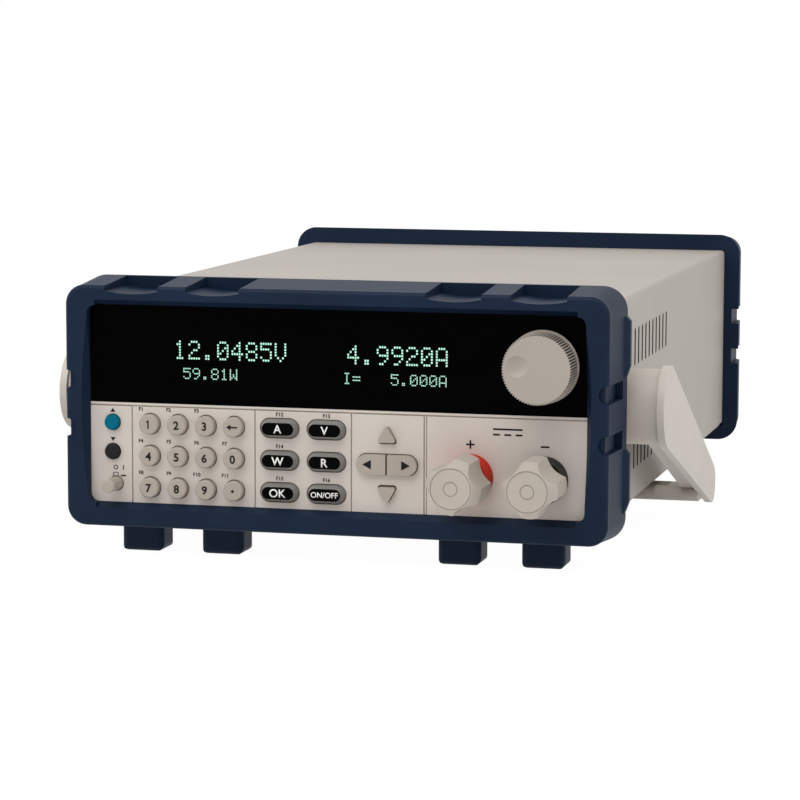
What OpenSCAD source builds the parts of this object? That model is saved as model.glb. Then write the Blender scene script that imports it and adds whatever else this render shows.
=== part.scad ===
// Bench electronic load: a half-rack case between two moulded bumpers, with a keypad,
// a display window, a control knob, two screw terminals and a swinging carry handle.
// X is to the right of the front panel, Y runs back into the case, Z is up.
// Modelled with Y = 0 on the front panel's face and Z = 0 under the case.

/* [Case] */
// Width of the sheet metal case
case_w = 214.5; // [208:0.5:230]
// Height of the sheet metal case
case_h = 88.2; // [86:0.1:96]
// Depth from the front panel's face to the rear panel's face
case_d = 358; // [345:1:380]
// Thickness of the sheet metal
sheet_t = 1.2; // [0.8:0.1:1.6]
// Height of the tray's side flanges
tray_flange = 11; // [6:1:13]

/* [Vents] */
// Number of slots in one row
vent_count = 10; // [4:1:12]
// Distance between slots
vent_pitch = 8.9; // [6:0.1:10]
// Width of a slot
vent_w = 2.8; // [1.5:0.1:3.5]
// Length of a slot
vent_len = 16; // [8:0.5:20]
// Place of the first slot behind the front panel
vent_y = 87; // [80:1:95]
// Height of the middle of the upper row
vent_high = 65.5; // [60:0.5:70]
// Height of the middle of the lower row
vent_low = 21.5; // [18:0.5:26]

/* [Bumpers] */
// How far the front lip stands ahead of the panel
lip_front = 4.5; // [3.5:0.1:6]
// How far the front bumper wraps back over the case
wrap_front = 25; // [20:0.5:28]
// How far the rear lip stands behind the rear panel
lip_rear = 8; // [5:0.5:10]
// How far the rear bumper wraps forward over the case
wrap_rear = 13; // [10:0.5:20]
// Wall outside the case at the sides
bumper_side = 7.7; // [7:0.1:9]
// Wall above the case
bumper_top = 7.9; // [7:0.1:9]
// Wall below the case
bumper_low = 7.1; // [6.5:0.1:9]
// Radius of the bumper's outer corners
bumper_r = 10; // [9:0.5:12]
// Radius of the bumper's front edge
bumper_edge = 1.8; // [1:0.1:2.5]
// Height of the pads along the front bumper's open edge
ridge_h = 1.7; // [0.6:0.1:1.9]
// Width of those pads
ridge_w = 3; // [2:0.1:4]
// Taper of the outer wall from its open edge to the front
bumper_draft = 2; // [0.6:0.1:2.4]
// Cover of the lip over the panel's sides
lip_side = 3.6; // [2.5:0.1:4.5]
// Cover of the lip over the panel's lower edge
lip_low = 4.6; // [3:0.1:5]
// Cover of the lip over the panel's upper edge
lip_high = 2.2; // [1.5:0.1:4]
// Slope of the upper and lower lips, over the lip's height
sill_fall = 2.2; // [0.5:0.1:2.5]
// Outward bow of the lip at the sides
lip_bow = 2.4; // [0.5:0.1:2.8]
// Depth of the round side grips
grip_depth = 1.6; // [0.8:0.1:2]
// Height of a side grip
grip_h = 7.4; // [6:0.1:9]
// Length of a side grip along the bumper
grip_len = 23; // [16:0.5:24]
// Height of the upper side grip's middle
grip_high = 55.3; // [54:0.1:58]
// Height of the lower side grip's middle
grip_low = 35.3; // [32:0.1:38]

/* [Feet] */
// Width of a foot
foot_w = 17.8; // [14:0.1:20]
// Depth of a foot
foot_d = 16; // [12:0.5:17]
// Height of the case above the table
foot_drop = 17; // [15.5:0.5:22]
// Middle of the inner feet from the centre line
foot_inner = 50; // [44:0.5:54]
// Middle of the outer feet from the centre line
foot_outer = 84.5; // [80:0.5:86]
// Rounding of a foot
foot_r = 3; // [1.5:0.1:4]
// Width of a stacking recess on top of a bumper
recess_w = 22.8; // [20:0.1:25]
// Depth of a stacking recess
recess_depth = 3.4; // [2:0.1:4]
// Dish of a stacking recess's floor
recess_dish = 1.2; // [0.4:0.1:1.6]

/* [Front panel] */
// Thickness of the front panel
panel_t = 4; // [3.2:0.1:5]
// Height of the display window's lower edge
window_z = 45.9; // [45:0.1:48]
// Thickness of the display window
window_t = 2; // [1.2:0.1:2.4]
// Width of the grooves between the panel's fields
groove_w = 0.6; // [0.4:0.1:1.2]
// Depth of those grooves
groove_t = 0.9; // [0.2:0.1:1.2]
// Width of the field with the power button
power_field = 17.9; // [16:0.1:20]
// Width of the field with the number keys
number_field = 52.5; // [50:0.1:56]
// Width of the field with the function keys
function_field = 40.5; // [39:0.1:44]
// Width of the field with the arrow keys
arrow_field = 30.2; // [28:0.1:33]

/* [Keys] */
// Distance between the rows of keys
row_pitch = 13.1; // [12:0.1:13.4]
// Height of the lowest row of keys
row_low = 11.2; // [11:0.1:12]
// Distance between the number keys of a row
number_pitch = 11.97; // [11.6:0.01:12.4]
// Radius of a number key
number_r = 4.1; // [3.6:0.1:4.4]
// Distance between the function keys of a row
function_pitch = 19.66; // [19.2:0.01:20.2]
// Length of a function key
function_w = 16; // [14:0.1:16.4]
// Height of a function key
function_h = 7.7; // [7:0.1:8.2]
// Narrowing of a function key from its foot to its face
function_taper = 1.25; // [0.5:0.05:1.6]
// Radius of the two small round keys
small_r = 3.1; // [2.6:0.1:3.6]
// Length of the pair of sideways arrow keys
arrow_w = 25; // [22:0.1:26]
// Height of the pair of sideways arrow keys
arrow_h = 8.2; // [7:0.1:8.6]
// Width of an upright arrow key
arrow_base = 8.3; // [7:0.1:9]
// Height of an upright arrow key
arrow_rise = 7.2; // [6:0.1:7.6]
// How far the number and function keys stand out
key_proud = 3.3; // [2:0.1:4]
// How far the arrow and small keys stand out
arrow_proud = 2; // [1.2:0.1:3]
// Travel of a key
key_travel = 1.2; // [0.8:0.1:1.4]
// Gap around a key in its hole
key_gap = 0.35; // [0.3:0.05:0.5]
// Radius of the power button
power_r = 2.8; // [2.4:0.1:3.2]
// How far the power button stands out
power_proud = 11; // [8:0.5:12]
// Travel of the power button
power_travel = 3; // [2:0.5:4]

/* [Knob] */
// Radius of the knob's ribbed grip
knob_r = 14.1; // [11:0.1:15]
// Length of the knob
knob_len = 13; // [10:0.5:18]
// Number of ribs around the knob
knob_ribs = 76; // [36:1:90]
// Depth of the ribs
rib_depth = 0.8; // [0.4:0.05:1]
// Radius of the finger dimple
dimple_r = 4.3; // [3:0.1:5]
// Radius of the encoder's shaft
shaft_r = 3; // [2.5:0.1:3.5]

/* [Terminals] */
// Distance between the two terminals
post_pitch = 30.4; // [27:0.1:32]
// Height of the terminals
post_z = 20.5; // [19:0.1:23]
// Radius of a terminal's base
post_base_r = 9.4; // [8.8:0.1:10]
// Height of a terminal's base
post_base_t = 10.5; // [8:0.1:12]
// Radius of a terminal's stud
stud_r = 4; // [3:0.1:4.5]
// Length of a screw cap
cap_len = 22.5; // [20:0.5:26]
// Radius over a cap's lobes
cap_r = 11.2; // [10.4:0.1:11.6]
// Radius in the hollows between a cap's lobes
cap_waist = 8.6; // [8.2:0.1:9]
// How far a cap's sloping front runs back from its face
cap_cone = 5; // [3:0.5:8]
// Thickness of a clamp washer
washer_t = 1.5; // [1:0.1:2]

/* [Handle] */
// Place of the pivot behind the front panel
pivot_y = 48; // [46:0.5:52]
// Height of the pivot
pivot_z = 45.2; // [44:0.1:47]
// Radius of the fixed hub
hub_r = 15.5; // [12:0.1:16]
// Length of the fixed hub
hub_len = 18.4; // [16:0.1:22]
// Radius of the pivot pin
pin_r = 6; // [4:0.1:8]
// Thickness of an arm's outer plate
arm_t = 3; // [2.6:0.1:4]
// Radius of an arm around the pivot
arm_r = 17; // [16.6:0.1:19]
// Radius of an arm at its free end
arm_end_r = 8.6; // [7:0.1:9]
// Reach of the arm's end behind the pivot
arm_reach = 120; // [112:0.5:130]
// Fall of the arm's end below the pivot
arm_fall = 48.4; // [48:0.1:52]
// Depth of the ribs inside an arm
arm_rib = 7.5; // [5:0.1:8]
// Width of the grip bar
bar_w = 20; // [16:0.1:22]
// Thickness of the grip bar
bar_t = 6.4; // [5.6:0.1:7]
// Reach of the grip bar behind the pivot
bar_reach = 106; // [98:0.5:110]
// Gap between the case and the stowed grip bar
bar_gap = 2; // [1.5:0.1:3]

/* [Fan] */
// Clearance between the square fan and the case's top and underside
fan_clear = 4.1; // [3.5:0.1:8]
// Clearance between the fan and the case's side
fan_side_gap = 10; // [4:0.5:20]
// Depth of the fan
fan_t = 25; // [20:1:30]
// Radius of the fan's hub
fan_hub_r = 19; // [15:0.5:22]
// Number of fan blades
blade_count = 7; // [5:1:9]

/* [Hidden] */
$fn = 64;
EPS = 0.01;
seam = 0.02;
fit_gap = 0.1;
running_gap = 0.05;
free_gap = 0.3;
plate_t = 1.6;

half_w = case_w / 2;
open_w = case_w - 2 * lip_side;
open_low = lip_low;
open_high = case_h - lip_high;
open_r = 3.5;
axis_x = half_w + bumper_side - bumper_r;
axis_low = bumper_r - bumper_low;
axis_high = case_h + bumper_top - bumper_r;
front_r = bumper_r - bumper_draft;
pad_ends = [[59.6, 64.5, 82.4, 84.4], [30.8, 28.7, 9.4, 4.8]];
foot_x = [-foot_outer, -foot_inner, foot_inner, foot_outer];
foot_setback = 1.5;

front_reach = post_base_t + washer_t + cap_len;
rear_reach = case_d + lip_rear;
middle_y = (rear_reach - front_reach) / 2;

panel_left = -open_w / 2;
number_left = panel_left + power_field;
function_left = number_left + number_field;
arrow_left = function_left + function_field;
post_left = arrow_left + arrow_field;
field_lines = [number_left, function_left, arrow_left, post_left];
trim_h = 1;
line_gap = 0.8;
field_top = window_z - trim_h;

key_flange_t = 1;
key_flange = 0.9;
key_back = panel_t + fit_gap + key_flange_t;
key_edge = 0.5;
mat_front = key_back + key_travel + free_gap;
mat_t = 1;
board_front = mat_front + mat_t;
board_back = board_front + plate_t;
post_rise = 2.6;
hollow_depth = post_rise + key_travel + free_gap;
hollow_r = 2.4;
small_hollow_r = 1.7;
dome_gap = 0.5;

row_z = [for (row = [2 : -1 : 0]) row_low + row * row_pitch];
number_x0 = number_left + number_field / 2 - 1.5 * number_pitch - 0.4;
number_at = [for (z = row_z, col = [0 : 3]) [number_x0 + col * number_pitch, z]];
function_x0 = function_left + (function_field - function_pitch) / 2;
function_at = [for (z = row_z, col = [0, 1]) [function_x0 + col * function_pitch, z]];
small_x = panel_left + 9.5;
small_at = [for (row = [0, 1]) [small_x, row_z[0] + 0.2 - row * (row_pitch - 1)]];
power_x = panel_left + 10.9;
power_z = row_low + 1.1;
stem_r = 1.8;
arrow_x = arrow_left + arrow_field / 2 - 0.2;
arrow_z = row_z[1] - 0.1;
arrow_rise_z = row_pitch - 0.5;
arrow_split = 0.7;
arrow_corner = 0.9;

window_w = case_w - 4;
window_top = case_h - 1;
window_h = window_top - window_z;
knob_x = open_w / 2 - 17.9;
knob_z = (window_z + open_high) / 2 - 0.3;
knob_gap = 0.8;
rim_t = 0.8;
rim_proud = 0.6;
bush_r = shaft_r + 1.2;
shaft_tip = knob_len - 5;
encoder_w = 14;
encoder_t = 7;
screen_left = 36;
screen_right = 31.3;
screen_w = open_w - screen_left - screen_right;
screen_h = open_high - window_z - 14.1;
screen_x = panel_left + screen_left + screen_w / 2;
screen_t = 6;

posts_x = (post_left + open_w / 2) / 2 + 1;
post_at = [posts_x - post_pitch / 2, posts_x + post_pitch / 2];
boss_r = stud_r + 2.2;
washer_r = stud_r + 4;
cap_foot = post_base_t + washer_t;
stud_front = cap_foot + cap_len - 6;
stud_back = panel_t + 18;
nut_r = 7.4;
nut_t = 6.5;
cap_turns = [-18, 0];
lobe_half = 17;

hub_end = half_w + hub_len;
plate_in = hub_end + free_gap;
pin_len = 1.7;
flare = 1.4;
arm_len = norm([arm_reach, arm_fall]);
arm_tilt = atan2(arm_fall, arm_reach);
rib_inset = 4;
rib_t = 2.4;
rib_in = plate_in - arm_rib;
bar_y = pivot_y + bar_reach;
bar_z = -bar_gap - bar_t / 2;
bar_groove_w = bar_w - 8;
bar_groove_t = 2.8;

rear_in = case_d - plate_t;
cover_d = rear_in - 2 * fit_gap - panel_t;
fan_size = case_h - 2 * fan_clear;
fan_x = half_w - sheet_t - fan_side_gap - fan_size / 2;
fan_z = case_h / 2;
fan_r = fan_size / 2 - 2;
fan_front = rear_in - fan_t;
fan_screw = fan_size / 2 - 4.25;
screw_r = 1.5;
screw_head_r = 2.8;
screw_head_t = 1.8;
guard_wire = 0.9;
strut_w = 5;
axle_r = 2;

tray_top = sheet_t;
floor_z = tray_top + 6;
sink_front = panel_t + 106;
sink_back = fan_front - 6;
sink_w = fan_size - 4;
sink_base = 8;
fin_count = 12;
fin_t = 2;
board_x0 = -half_w + 14;
board_x1 = fan_x - sink_w / 2 - 8;
board_y0 = panel_t + 46;
board_y1 = rear_in - 34;
inlet_x = -half_w + 34;
inlet_z = 27;
inlet_w = 27;
inlet_h = 20;
inlet_d = 22;
inlet_wall = 1.3;
inlet_ear = 50;
socket_z = 62;
serial_x = -half_w + 34;
serial_w = 19;
serial_h = 10.5;
block_x = -half_w + 76;
block_w = 30;
block_h = 9;
usb_x = -half_w + 76;
usb_w = 12;
socket_proud = 6;
socket_depth = 14;
screw_at = concat(
    [for (sx = [-1, 1], sy = [-1, 1]) [-fan_x + sx * fan_screw, fan_z + sy * fan_screw]],
    [for (side = [-1, 1]) [-inlet_x + side * (inlet_ear / 2 - 5), inlet_z]]
);

DIGIT_KEYS = [
    "key_1", "key_2", "key_3", "key_escape",
    "key_4", "key_5", "key_6", "key_0",
    "key_7", "key_8", "key_9", "key_point"
];
FUNCTION_KEYS = [
    "key_current", "key_voltage", "key_power", "key_resistance", "key_enter", "key_on_off"
];
SMALL_KEYS = ["key_shift", "key_local"];
SIDES = ["left", "right"];
POLES = ["plus", "minus"];

// Places the finished object over its own origin: centred, with its feet on Z = 0
module standing() {
    translate([0, -middle_y, foot_drop]) children();
}

// Local x and y lie in the front panel, local z points out at the user
module on_front() {
    standing() rotate([90, 0, 0]) children();
}

// Local x and y lie in the rear panel, local z points out behind the case
module on_rear() {
    standing() translate([0, case_d, 0]) rotate([90, 0, 180]) children();
}

// Local x runs back along the case and y up, local z points out of the right side
module on_side() {
    rotate([90, 0, 90]) children();
}

module rounded_rect(w, h, r) {
    square([w, h - 2 * r], center = true);
    square([w - 2 * r, h], center = true);
    for (sx = [-1, 1], sy = [-1, 1]) translate([sx * (w / 2 - r), sy * (h / 2 - r)]) circle(r);
}

module stadium(w, h) {
    square([w - h, h], center = true);
    for (side = [-1, 1]) translate([side * (w - h) / 2, 0]) circle(h / 2);
}

// A triangle pointing up, with round corners
module round_triangle(base, rise, r) {
    lean = atan2(rise, base / 2);
    top = rise - r / cos(lean);
    foot = base / 2 - r * tan(90 - lean / 2);
    push = (r - seam) * [sin(lean), cos(lean)];
    circles = [[0, top], [-foot, r], [foot, r]];
    for (at = circles) translate(at) circle(r);
    polygon([
        [-foot, seam], [foot, seam], [foot, r] + push, [0, top] + push,
        [-push[0], top + push[1]], [-foot - push[0], r + push[1]]
    ]);
}

// Two circles joined by their outer tangents; the second lies at distance len on x
module tapered_link(r0, r1, len) {
    lean = asin((r0 - r1) / len);
    dir = [sin(lean), cos(lean)];
    circle(r0);
    translate([len, 0]) circle(r1);
    near = (r0 - seam) * dir;
    far = (r1 - seam) * dir;
    polygon([near, [len + far[0], far[1]], [len + far[0], -far[1]], [near[0], -near[1]]]);
}

// Bumper wall section: x is the distance out from the corner's axis, y points to the user
module bumper_section(lip, wrap) {
    translate([front_r - bumper_edge, lip - bumper_edge]) circle(bumper_edge);
    polygon([
        [0, -wrap], [bumper_r, -wrap],
        [front_r, 0], [front_r, lip - bumper_edge], [front_r - bumper_edge, lip - bumper_edge],
        [front_r - bumper_edge, lip], [0, lip]
    ]);
}

// The bumper's wall, swept round the case, and the plate between its walls
module bumper_ring(lip, wrap) {
    rise = axis_high - axis_low;
    translate([-axis_x, axis_low, -1]) cube([2 * axis_x, rise, lip + 1]);
    for (corner = [[1, 1, 0], [-1, 1, 90], [-1, 0, 180], [1, 0, 270]])
        translate([corner[0] * axis_x, axis_low + corner[1] * rise, 0])
            rotate([0, 0, corner[2]]) rotate_extrude(angle = 90) bumper_section(lip, wrap);
    for (side = [0, 180]) {
        translate([0, (axis_low + axis_high) / 2, 0]) rotate([0, 0, side])
            translate([axis_x, rise / 2, 0]) rotate([90, 0, 0])
                linear_extrude(rise) bumper_section(lip, wrap);
        translate([0, (axis_low + axis_high) / 2, 0]) rotate([0, 0, side])
            translate([-axis_x, rise / 2, 0]) rotate([90, 0, 90])
                linear_extrude(2 * axis_x) bumper_section(lip, wrap);
    }
}

// A foot with round edges, standing on its lower face; y is up
module bumper_foot() {
    rise = foot_drop - bumper_low / 2;
    intersection() {
        rotate([-90, 0, 0]) linear_extrude(rise) rounded_rect(foot_w, foot_d, foot_r);
        translate([0, rise, -foot_d / 2]) linear_extrude(foot_d) rounded_rect(foot_w, 2 * rise, foot_r);
        translate([-foot_w / 2, rise, 0]) rotate([0, 90, 0]) linear_extrude(foot_w)
            rounded_rect(foot_d, 2 * rise, foot_r);
    }
}

// Everything that is cut out of a bumper's ring
module bumper_cuts(lip, wrap) {
    through = lip + wrap + 2;
    translate([-half_w - fit_gap, -fit_gap, -wrap - 1])
        cube([case_w + 2 * fit_gap, case_h + 2 * fit_gap, wrap + 1]);
    translate([0, (open_low + open_high) / 2, -1]) linear_extrude(through)
        rounded_rect(open_w, open_high - open_low, open_r);
    sill = open_w - 2 * open_r;
    for (edge = [[open_low, 0], [open_high, 1]])
        translate([-sill / 2, edge[0], 0]) rotate([90, 0, 90]) linear_extrude(sill) mirror([edge[1], 0])
            polygon([[0, 0], [1, 0], [1, lip + 1], [-sill_fall * (lip + 1) / lip, lip + 1]]);
    bow_h = open_high - open_low - 2 * open_r - 4;
    bow_foot = 0.4;
    bow_r = (pow(bow_h / 2, 2) + pow(lip_bow, 2)) / (2 * lip_bow);
    for (side = [0, 1]) mirror([side, 0, 0]) {
        intersection() {
            translate([open_w / 2 + lip_bow - bow_r, (open_low + open_high) / 2, bow_foot])
                cylinder(h = lip, r1 = bow_r - lip_bow + 0.2, r2 = bow_r + 0.2);
            translate([open_w / 2 - 2, (open_low + open_high - bow_h) / 2, bow_foot])
                cube([lip_bow + 3, bow_h, lip]);
        }
        for (z = [grip_low, grip_high]) {
            translate([axis_x + front_r - grip_depth, z - grip_h / 2, lip - grip_len])
                cube([bumper_side, grip_h, grip_len + 1]);
            translate([axis_x + front_r - grip_depth / 3, z, lip - grip_depth])
                cylinder(h = lip, r = grip_h / 2);
        }
    }
    dish_r = (pow(recess_w / 2, 2) + pow(recess_dish, 2)) / (2 * recess_dish);
    floor_y = axis_high + front_r - recess_depth;
    for (x = foot_x) translate([x, floor_y, foot_setback - wrap]) intersection() {
        translate([-recess_w / 2, 0, 0]) cube([recess_w, bumper_top + recess_depth, through]);
        translate([0, dish_r, 0]) cylinder(h = through, r = dish_r, $fn = 180);
    }
}

module bumper(lip, wrap) {
    color([0.13, 0.19, 0.32]) {
        difference() {
            bumper_ring(lip, wrap);
            bumper_cuts(lip, wrap);
        }
        for (x = foot_x) translate([x, -foot_drop, foot_setback - wrap + foot_d / 2]) bumper_foot();
    }
}

// A pad on a bumper's side wall, at the open edge; ends holds its heights from end to end
module bumper_pad(ends) {
    foot_x = axis_x + bumper_r - 1;
    top_x = axis_x + bumper_r + ridge_h;
    slope = ridge_w + ridge_h + 1;
    color([0.13, 0.19, 0.32]) intersection() {
        translate([0, 0, -wrap_front]) linear_extrude(slope) polygon([
            [foot_x, ends[0]], [top_x - ridge_h, ends[0]], [top_x, ends[1]],
            [top_x, ends[2]], [top_x - ridge_h, ends[3]], [foot_x, ends[3]]
        ]);
        translate([0, 0, -wrap_front]) rotate([-90, 0, 0]) mirror([0, 1]) linear_extrude(case_h) polygon([
            [foot_x, 0], [top_x, 0], [top_x, ridge_w], [foot_x, slope]
        ]);
    }
}

module front_bumper() {
    on_front() {
        bumper(lip_front, wrap_front);
        for (side = [0, 1], ends = pad_ends) mirror([side, 0, 0]) bumper_pad(ends);
    }
}

module rear_bumper() {
    on_rear() bumper(lip_rear, wrap_rear);
}

// Slots of one side wall, on the side's plane
module vent_rows(depth) {
    for (z = [vent_low, vent_high], i = [0 : vent_count - 1])
        translate([vent_y + i * vent_pitch, z, 0]) rotate([0, 0, 90])
            linear_extrude(depth) stadium(vent_len, vent_w);
}

module top_cover() {
    bend_r = 1.8;
    color([0.74, 0.71, 0.67]) standing() difference() {
        translate([0, rear_in - fit_gap, 0]) rotate([90, 0, 0]) linear_extrude(cover_d) difference() {
            translate([0, case_h / 2]) rounded_rect(case_w, case_h, bend_r);
            translate([-half_w + sheet_t, -1]) square([case_w - 2 * sheet_t, case_h - sheet_t + 1]);
            translate([-half_w - 1, -1]) square([case_w + 2, bend_r + 1]);
        }
        for (side = [0, 1]) mirror([side, 0, 0])
            translate([half_w - 2 * sheet_t, 0, 0]) on_side() vent_rows(3 * sheet_t);
    }
}

// Bottom tray with folded sides, and the spacers that carry the boards
module chassis_tray() {
    inner = half_w - sheet_t - fit_gap;
    color([0.6, 0.6, 0.6]) standing() {
        translate([0, rear_in - fit_gap, 0]) rotate([90, 0, 0]) linear_extrude(cover_d) difference() {
            translate([-inner, 0]) square([2 * inner, tray_flange]);
            translate([sheet_t - inner, sheet_t]) square([2 * (inner - sheet_t), tray_flange]);
        }
        for (x = [board_x0 + 6, board_x1 - 6], y = [board_y0 + 6, board_y1 - 6])
            translate([x, y, 0]) cylinder(h = floor_z, r = 3);
        for (y = [sink_front + 12, sink_back - 12])
            translate([fan_x - sink_w / 2, y - 6, 0]) cube([sink_w, 12, floor_z]);
    }
}

module key_holes() {
    for (at = number_at) translate(at) circle(number_r + key_gap);
    for (at = function_at) translate(at) stadium(function_w + 2 * key_gap, function_h + 2 * key_gap);
    for (at = small_at) translate(at) circle(small_r + key_gap);
    translate([power_x, power_z]) circle(power_r + key_gap);
    translate([arrow_x, arrow_z]) stadium(arrow_w + 2 * key_gap, arrow_h + 2 * key_gap);
    for (turn = [0, 180]) translate([arrow_x, arrow_z]) rotate(turn)
        translate([0, arrow_rise_z - arrow_rise / 2 - 2 * key_gap])
            round_triangle(arrow_base + 4 * key_gap, arrow_rise + 3 * key_gap, arrow_corner + key_gap);
}

module front_panel() {
    color([0.84, 0.8, 0.77]) on_front() difference() {
        translate([0, case_h / 2, -panel_t]) linear_extrude(panel_t) difference() {
            square([case_w - 2 * fit_gap, case_h - 2 * fit_gap], center = true);
            translate([0, -case_h / 2]) {
                key_holes();
                for (x = post_at) translate([x, post_z]) circle(boss_r + fit_gap);
                translate([knob_x, knob_z]) circle(bush_r + fit_gap);
                translate([screen_x, (window_z + open_high) / 2]) square([screen_w, screen_h], center = true);
            }
        }
        translate([0, window_z + window_h / 2, -window_t]) linear_extrude(window_t + 1)
            square([window_w + 2 * fit_gap, window_h + 2 * fit_gap], center = true);
        for (x = field_lines)
            translate([x - groove_w / 2, 0, -groove_t]) cube([groove_w, field_top, groove_t + 1]);
        translate([post_left + line_gap, 0, -groove_t]) cube([groove_w / 2, field_top, groove_t + 1]);
        translate([-half_w, field_top - groove_w, -groove_t]) cube([case_w, groove_w, groove_t + 1]);
    }
}

module display_window() {
    color([0.03, 0.03, 0.035]) on_front() translate([0, window_z + window_h / 2, -window_t])
        linear_extrude(window_t) difference() {
            square([window_w, window_h], center = true);
            translate([knob_x, knob_z - window_z - window_h / 2]) circle(bush_r + fit_gap);
        }
}

// Glass display on its own board, behind the panel's opening
module display_module() {
    color([0.1, 0.14, 0.13]) on_front() translate([screen_x, (window_z + open_high) / 2, 0]) {
        translate([0, 0, -panel_t - 1]) linear_extrude(panel_t + 1 - window_t)
            square([screen_w - 1, screen_h - 1], center = true);
        translate([0, 0, -panel_t - screen_t]) linear_extrude(screen_t)
            square([screen_w + 12, screen_h + 10], center = true);
    }
}

// Rubber sheet with one raised post inside each hollow key
module key_mat() {
    color([0.55, 0.55, 0.55]) on_front() translate([0, 0, -mat_front]) {
        translate([0, 0, -mat_t]) linear_extrude(mat_t) difference() {
            translate([panel_left + 2, open_low + 0.5])
                square([post_left - panel_left - 5, window_z - open_low - 7]);
            translate([power_x, power_z]) circle(power_r + 2 * key_gap);
        }
        for (at = concat(number_at, function_at)) translate(at)
            cylinder(h = post_rise, r = hollow_r - dome_gap);
        for (side = [-1, 1]) {
            translate([arrow_x + side * arrow_w / 4, arrow_z])
                cylinder(h = post_rise, r = hollow_r - dome_gap);
            translate([arrow_x, arrow_z + side * (arrow_rise_z - 1)])
                cylinder(h = post_rise, r = small_hollow_r - dome_gap);
        }
        for (at = small_at) translate(at) cylinder(h = post_rise, r = small_hollow_r - dome_gap);
    }
}

module front_board() {
    color([0.1, 0.35, 0.2]) on_front() translate([0, 0, -board_back]) linear_extrude(plate_t) difference() {
        translate([panel_left + 2, open_low + 0.5])
            square([post_left - panel_left - 5, window_z - open_low - 7]);
        translate([power_x, power_z]) circle(power_r + 2 * key_gap);
    }
}

// The hollow at the back of a key, for the mat's post
module key_hollow(r) {
    translate([0, 0, -key_back - 1]) cylinder(h = hollow_depth + 1, r = r);
}

module round_key(r, proud, hollow) {
    difference() {
        union() {
            translate([0, 0, -key_back]) cylinder(h = key_back + proud - key_edge, r = r);
            translate([0, 0, proud - key_edge]) cylinder(h = key_edge, r1 = r, r2 = r - key_edge);
            translate([0, 0, -key_back]) cylinder(h = key_flange_t, r = r + key_flange);
        }
        key_hollow(hollow);
    }
}

module digit_key(at) {
    color([0.75, 0.71, 0.66]) on_front() translate(at) round_key(number_r, key_proud, hollow_r);
}

module small_key(at, tint) {
    color(tint) on_front() translate(at) round_key(small_r, arrow_proud, small_hollow_r);
}

module function_key(at) {
    run = function_w - function_h;
    half_h = function_h / 2;
    face_r = half_h - function_taper;
    color([0.5, 0.5, 0.49]) on_front() translate(at) difference() {
        union() {
            translate([0, 0, -key_back]) linear_extrude(key_back) stadium(function_w, function_h);
            for (side = [-1, 1]) translate([side * run / 2, 0, 0])
                cylinder(h = key_proud, r1 = half_h, r2 = face_r);
            translate([-run / 2, 0, 0]) on_side() linear_extrude(run)
                polygon([[-half_h, 0], [half_h, 0], [face_r, key_proud], [-face_r, key_proud]]);
            translate([0, 0, -key_back]) linear_extrude(key_flange_t)
                stadium(function_w + 2 * key_flange, function_h + 2 * key_flange);
        }
        key_hollow(hollow_r);
    }
}

// Up for turn 0, down for turn 180
module rising_arrow(turn) {
    color([0.75, 0.71, 0.66]) on_front() translate([arrow_x, arrow_z, 0]) rotate(turn) difference() {
        translate([0, arrow_rise_z - arrow_rise / 2, 0]) {
            translate([0, 0, -key_back]) linear_extrude(key_back + arrow_proud)
                round_triangle(arrow_base, arrow_rise, arrow_corner);
            translate([0, -key_flange, -key_back]) linear_extrude(key_flange_t)
                round_triangle(arrow_base + 3 * key_flange, arrow_rise + 2.5 * key_flange, arrow_corner);
        }
        translate([0, arrow_rise_z - 1, 0]) key_hollow(small_hollow_r);
    }
}

// Left for side -1, right for side 1: one half of a long round-ended key
module side_arrow(side) {
    color([0.75, 0.71, 0.66]) on_front() translate([arrow_x, arrow_z, 0]) difference() {
        union() {
            translate([0, 0, -key_back]) linear_extrude(key_back + arrow_proud) half_stadium(side, 0);
            translate([0, 0, -key_back]) linear_extrude(key_flange_t) half_stadium(side, key_flange);
        }
        translate([side * arrow_w / 4, 0, 0]) key_hollow(hollow_r);
    }
}

module half_stadium(side, grow) {
    intersection() {
        stadium(arrow_w + 2 * grow, arrow_h + 2 * grow);
        translate([side * (arrow_w + arrow_split) / 2, 0]) square([arrow_w, 2 * arrow_h], center = true);
    }
}

module power_button() {
    stem_len = board_back + 10;
    color([0.75, 0.71, 0.66]) on_front() translate([power_x, power_z, 0]) {
        translate([0, 0, -board_back]) cylinder(h = board_back + power_proud - key_edge, r = power_r);
        translate([0, 0, power_proud - key_edge])
            cylinder(h = key_edge, r1 = power_r, r2 = power_r - key_edge);
        translate([0, 0, -stem_len]) cylinder(h = stem_len - board_back + 1, r = stem_r);
    }
}

// Mains switch on a bracket; the button's stem slides in its bore
module power_switch() {
    body_w = 13;
    body_len = 26;
    mouth = board_back + 4 + power_travel;
    bore_r = stem_r + running_gap;
    color([0.1, 0.1, 0.1]) on_front() translate([power_x, power_z, -mouth]) {
        difference() {
            translate([-body_w / 2, -body_w / 2, -body_len]) cube([body_w, body_w, body_len]);
            translate([0, 0, -power_travel - 8]) cylinder(h = power_travel + 9, r = bore_r);
        }
        translate([-body_w / 2, tray_top - power_z, -body_len + 4])
            cube([body_w, power_z - tray_top - body_w / 2, body_len - 8]);
    }
}

// Ribbed outline of the knob: one tip and one root for each rib
function rib_points() = [for (i = [0 : 2 * knob_ribs - 1])
    let (r = knob_r - (i % 2) * rib_depth, a = 180 * i / knob_ribs) r * [cos(a), sin(a)]];

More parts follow.
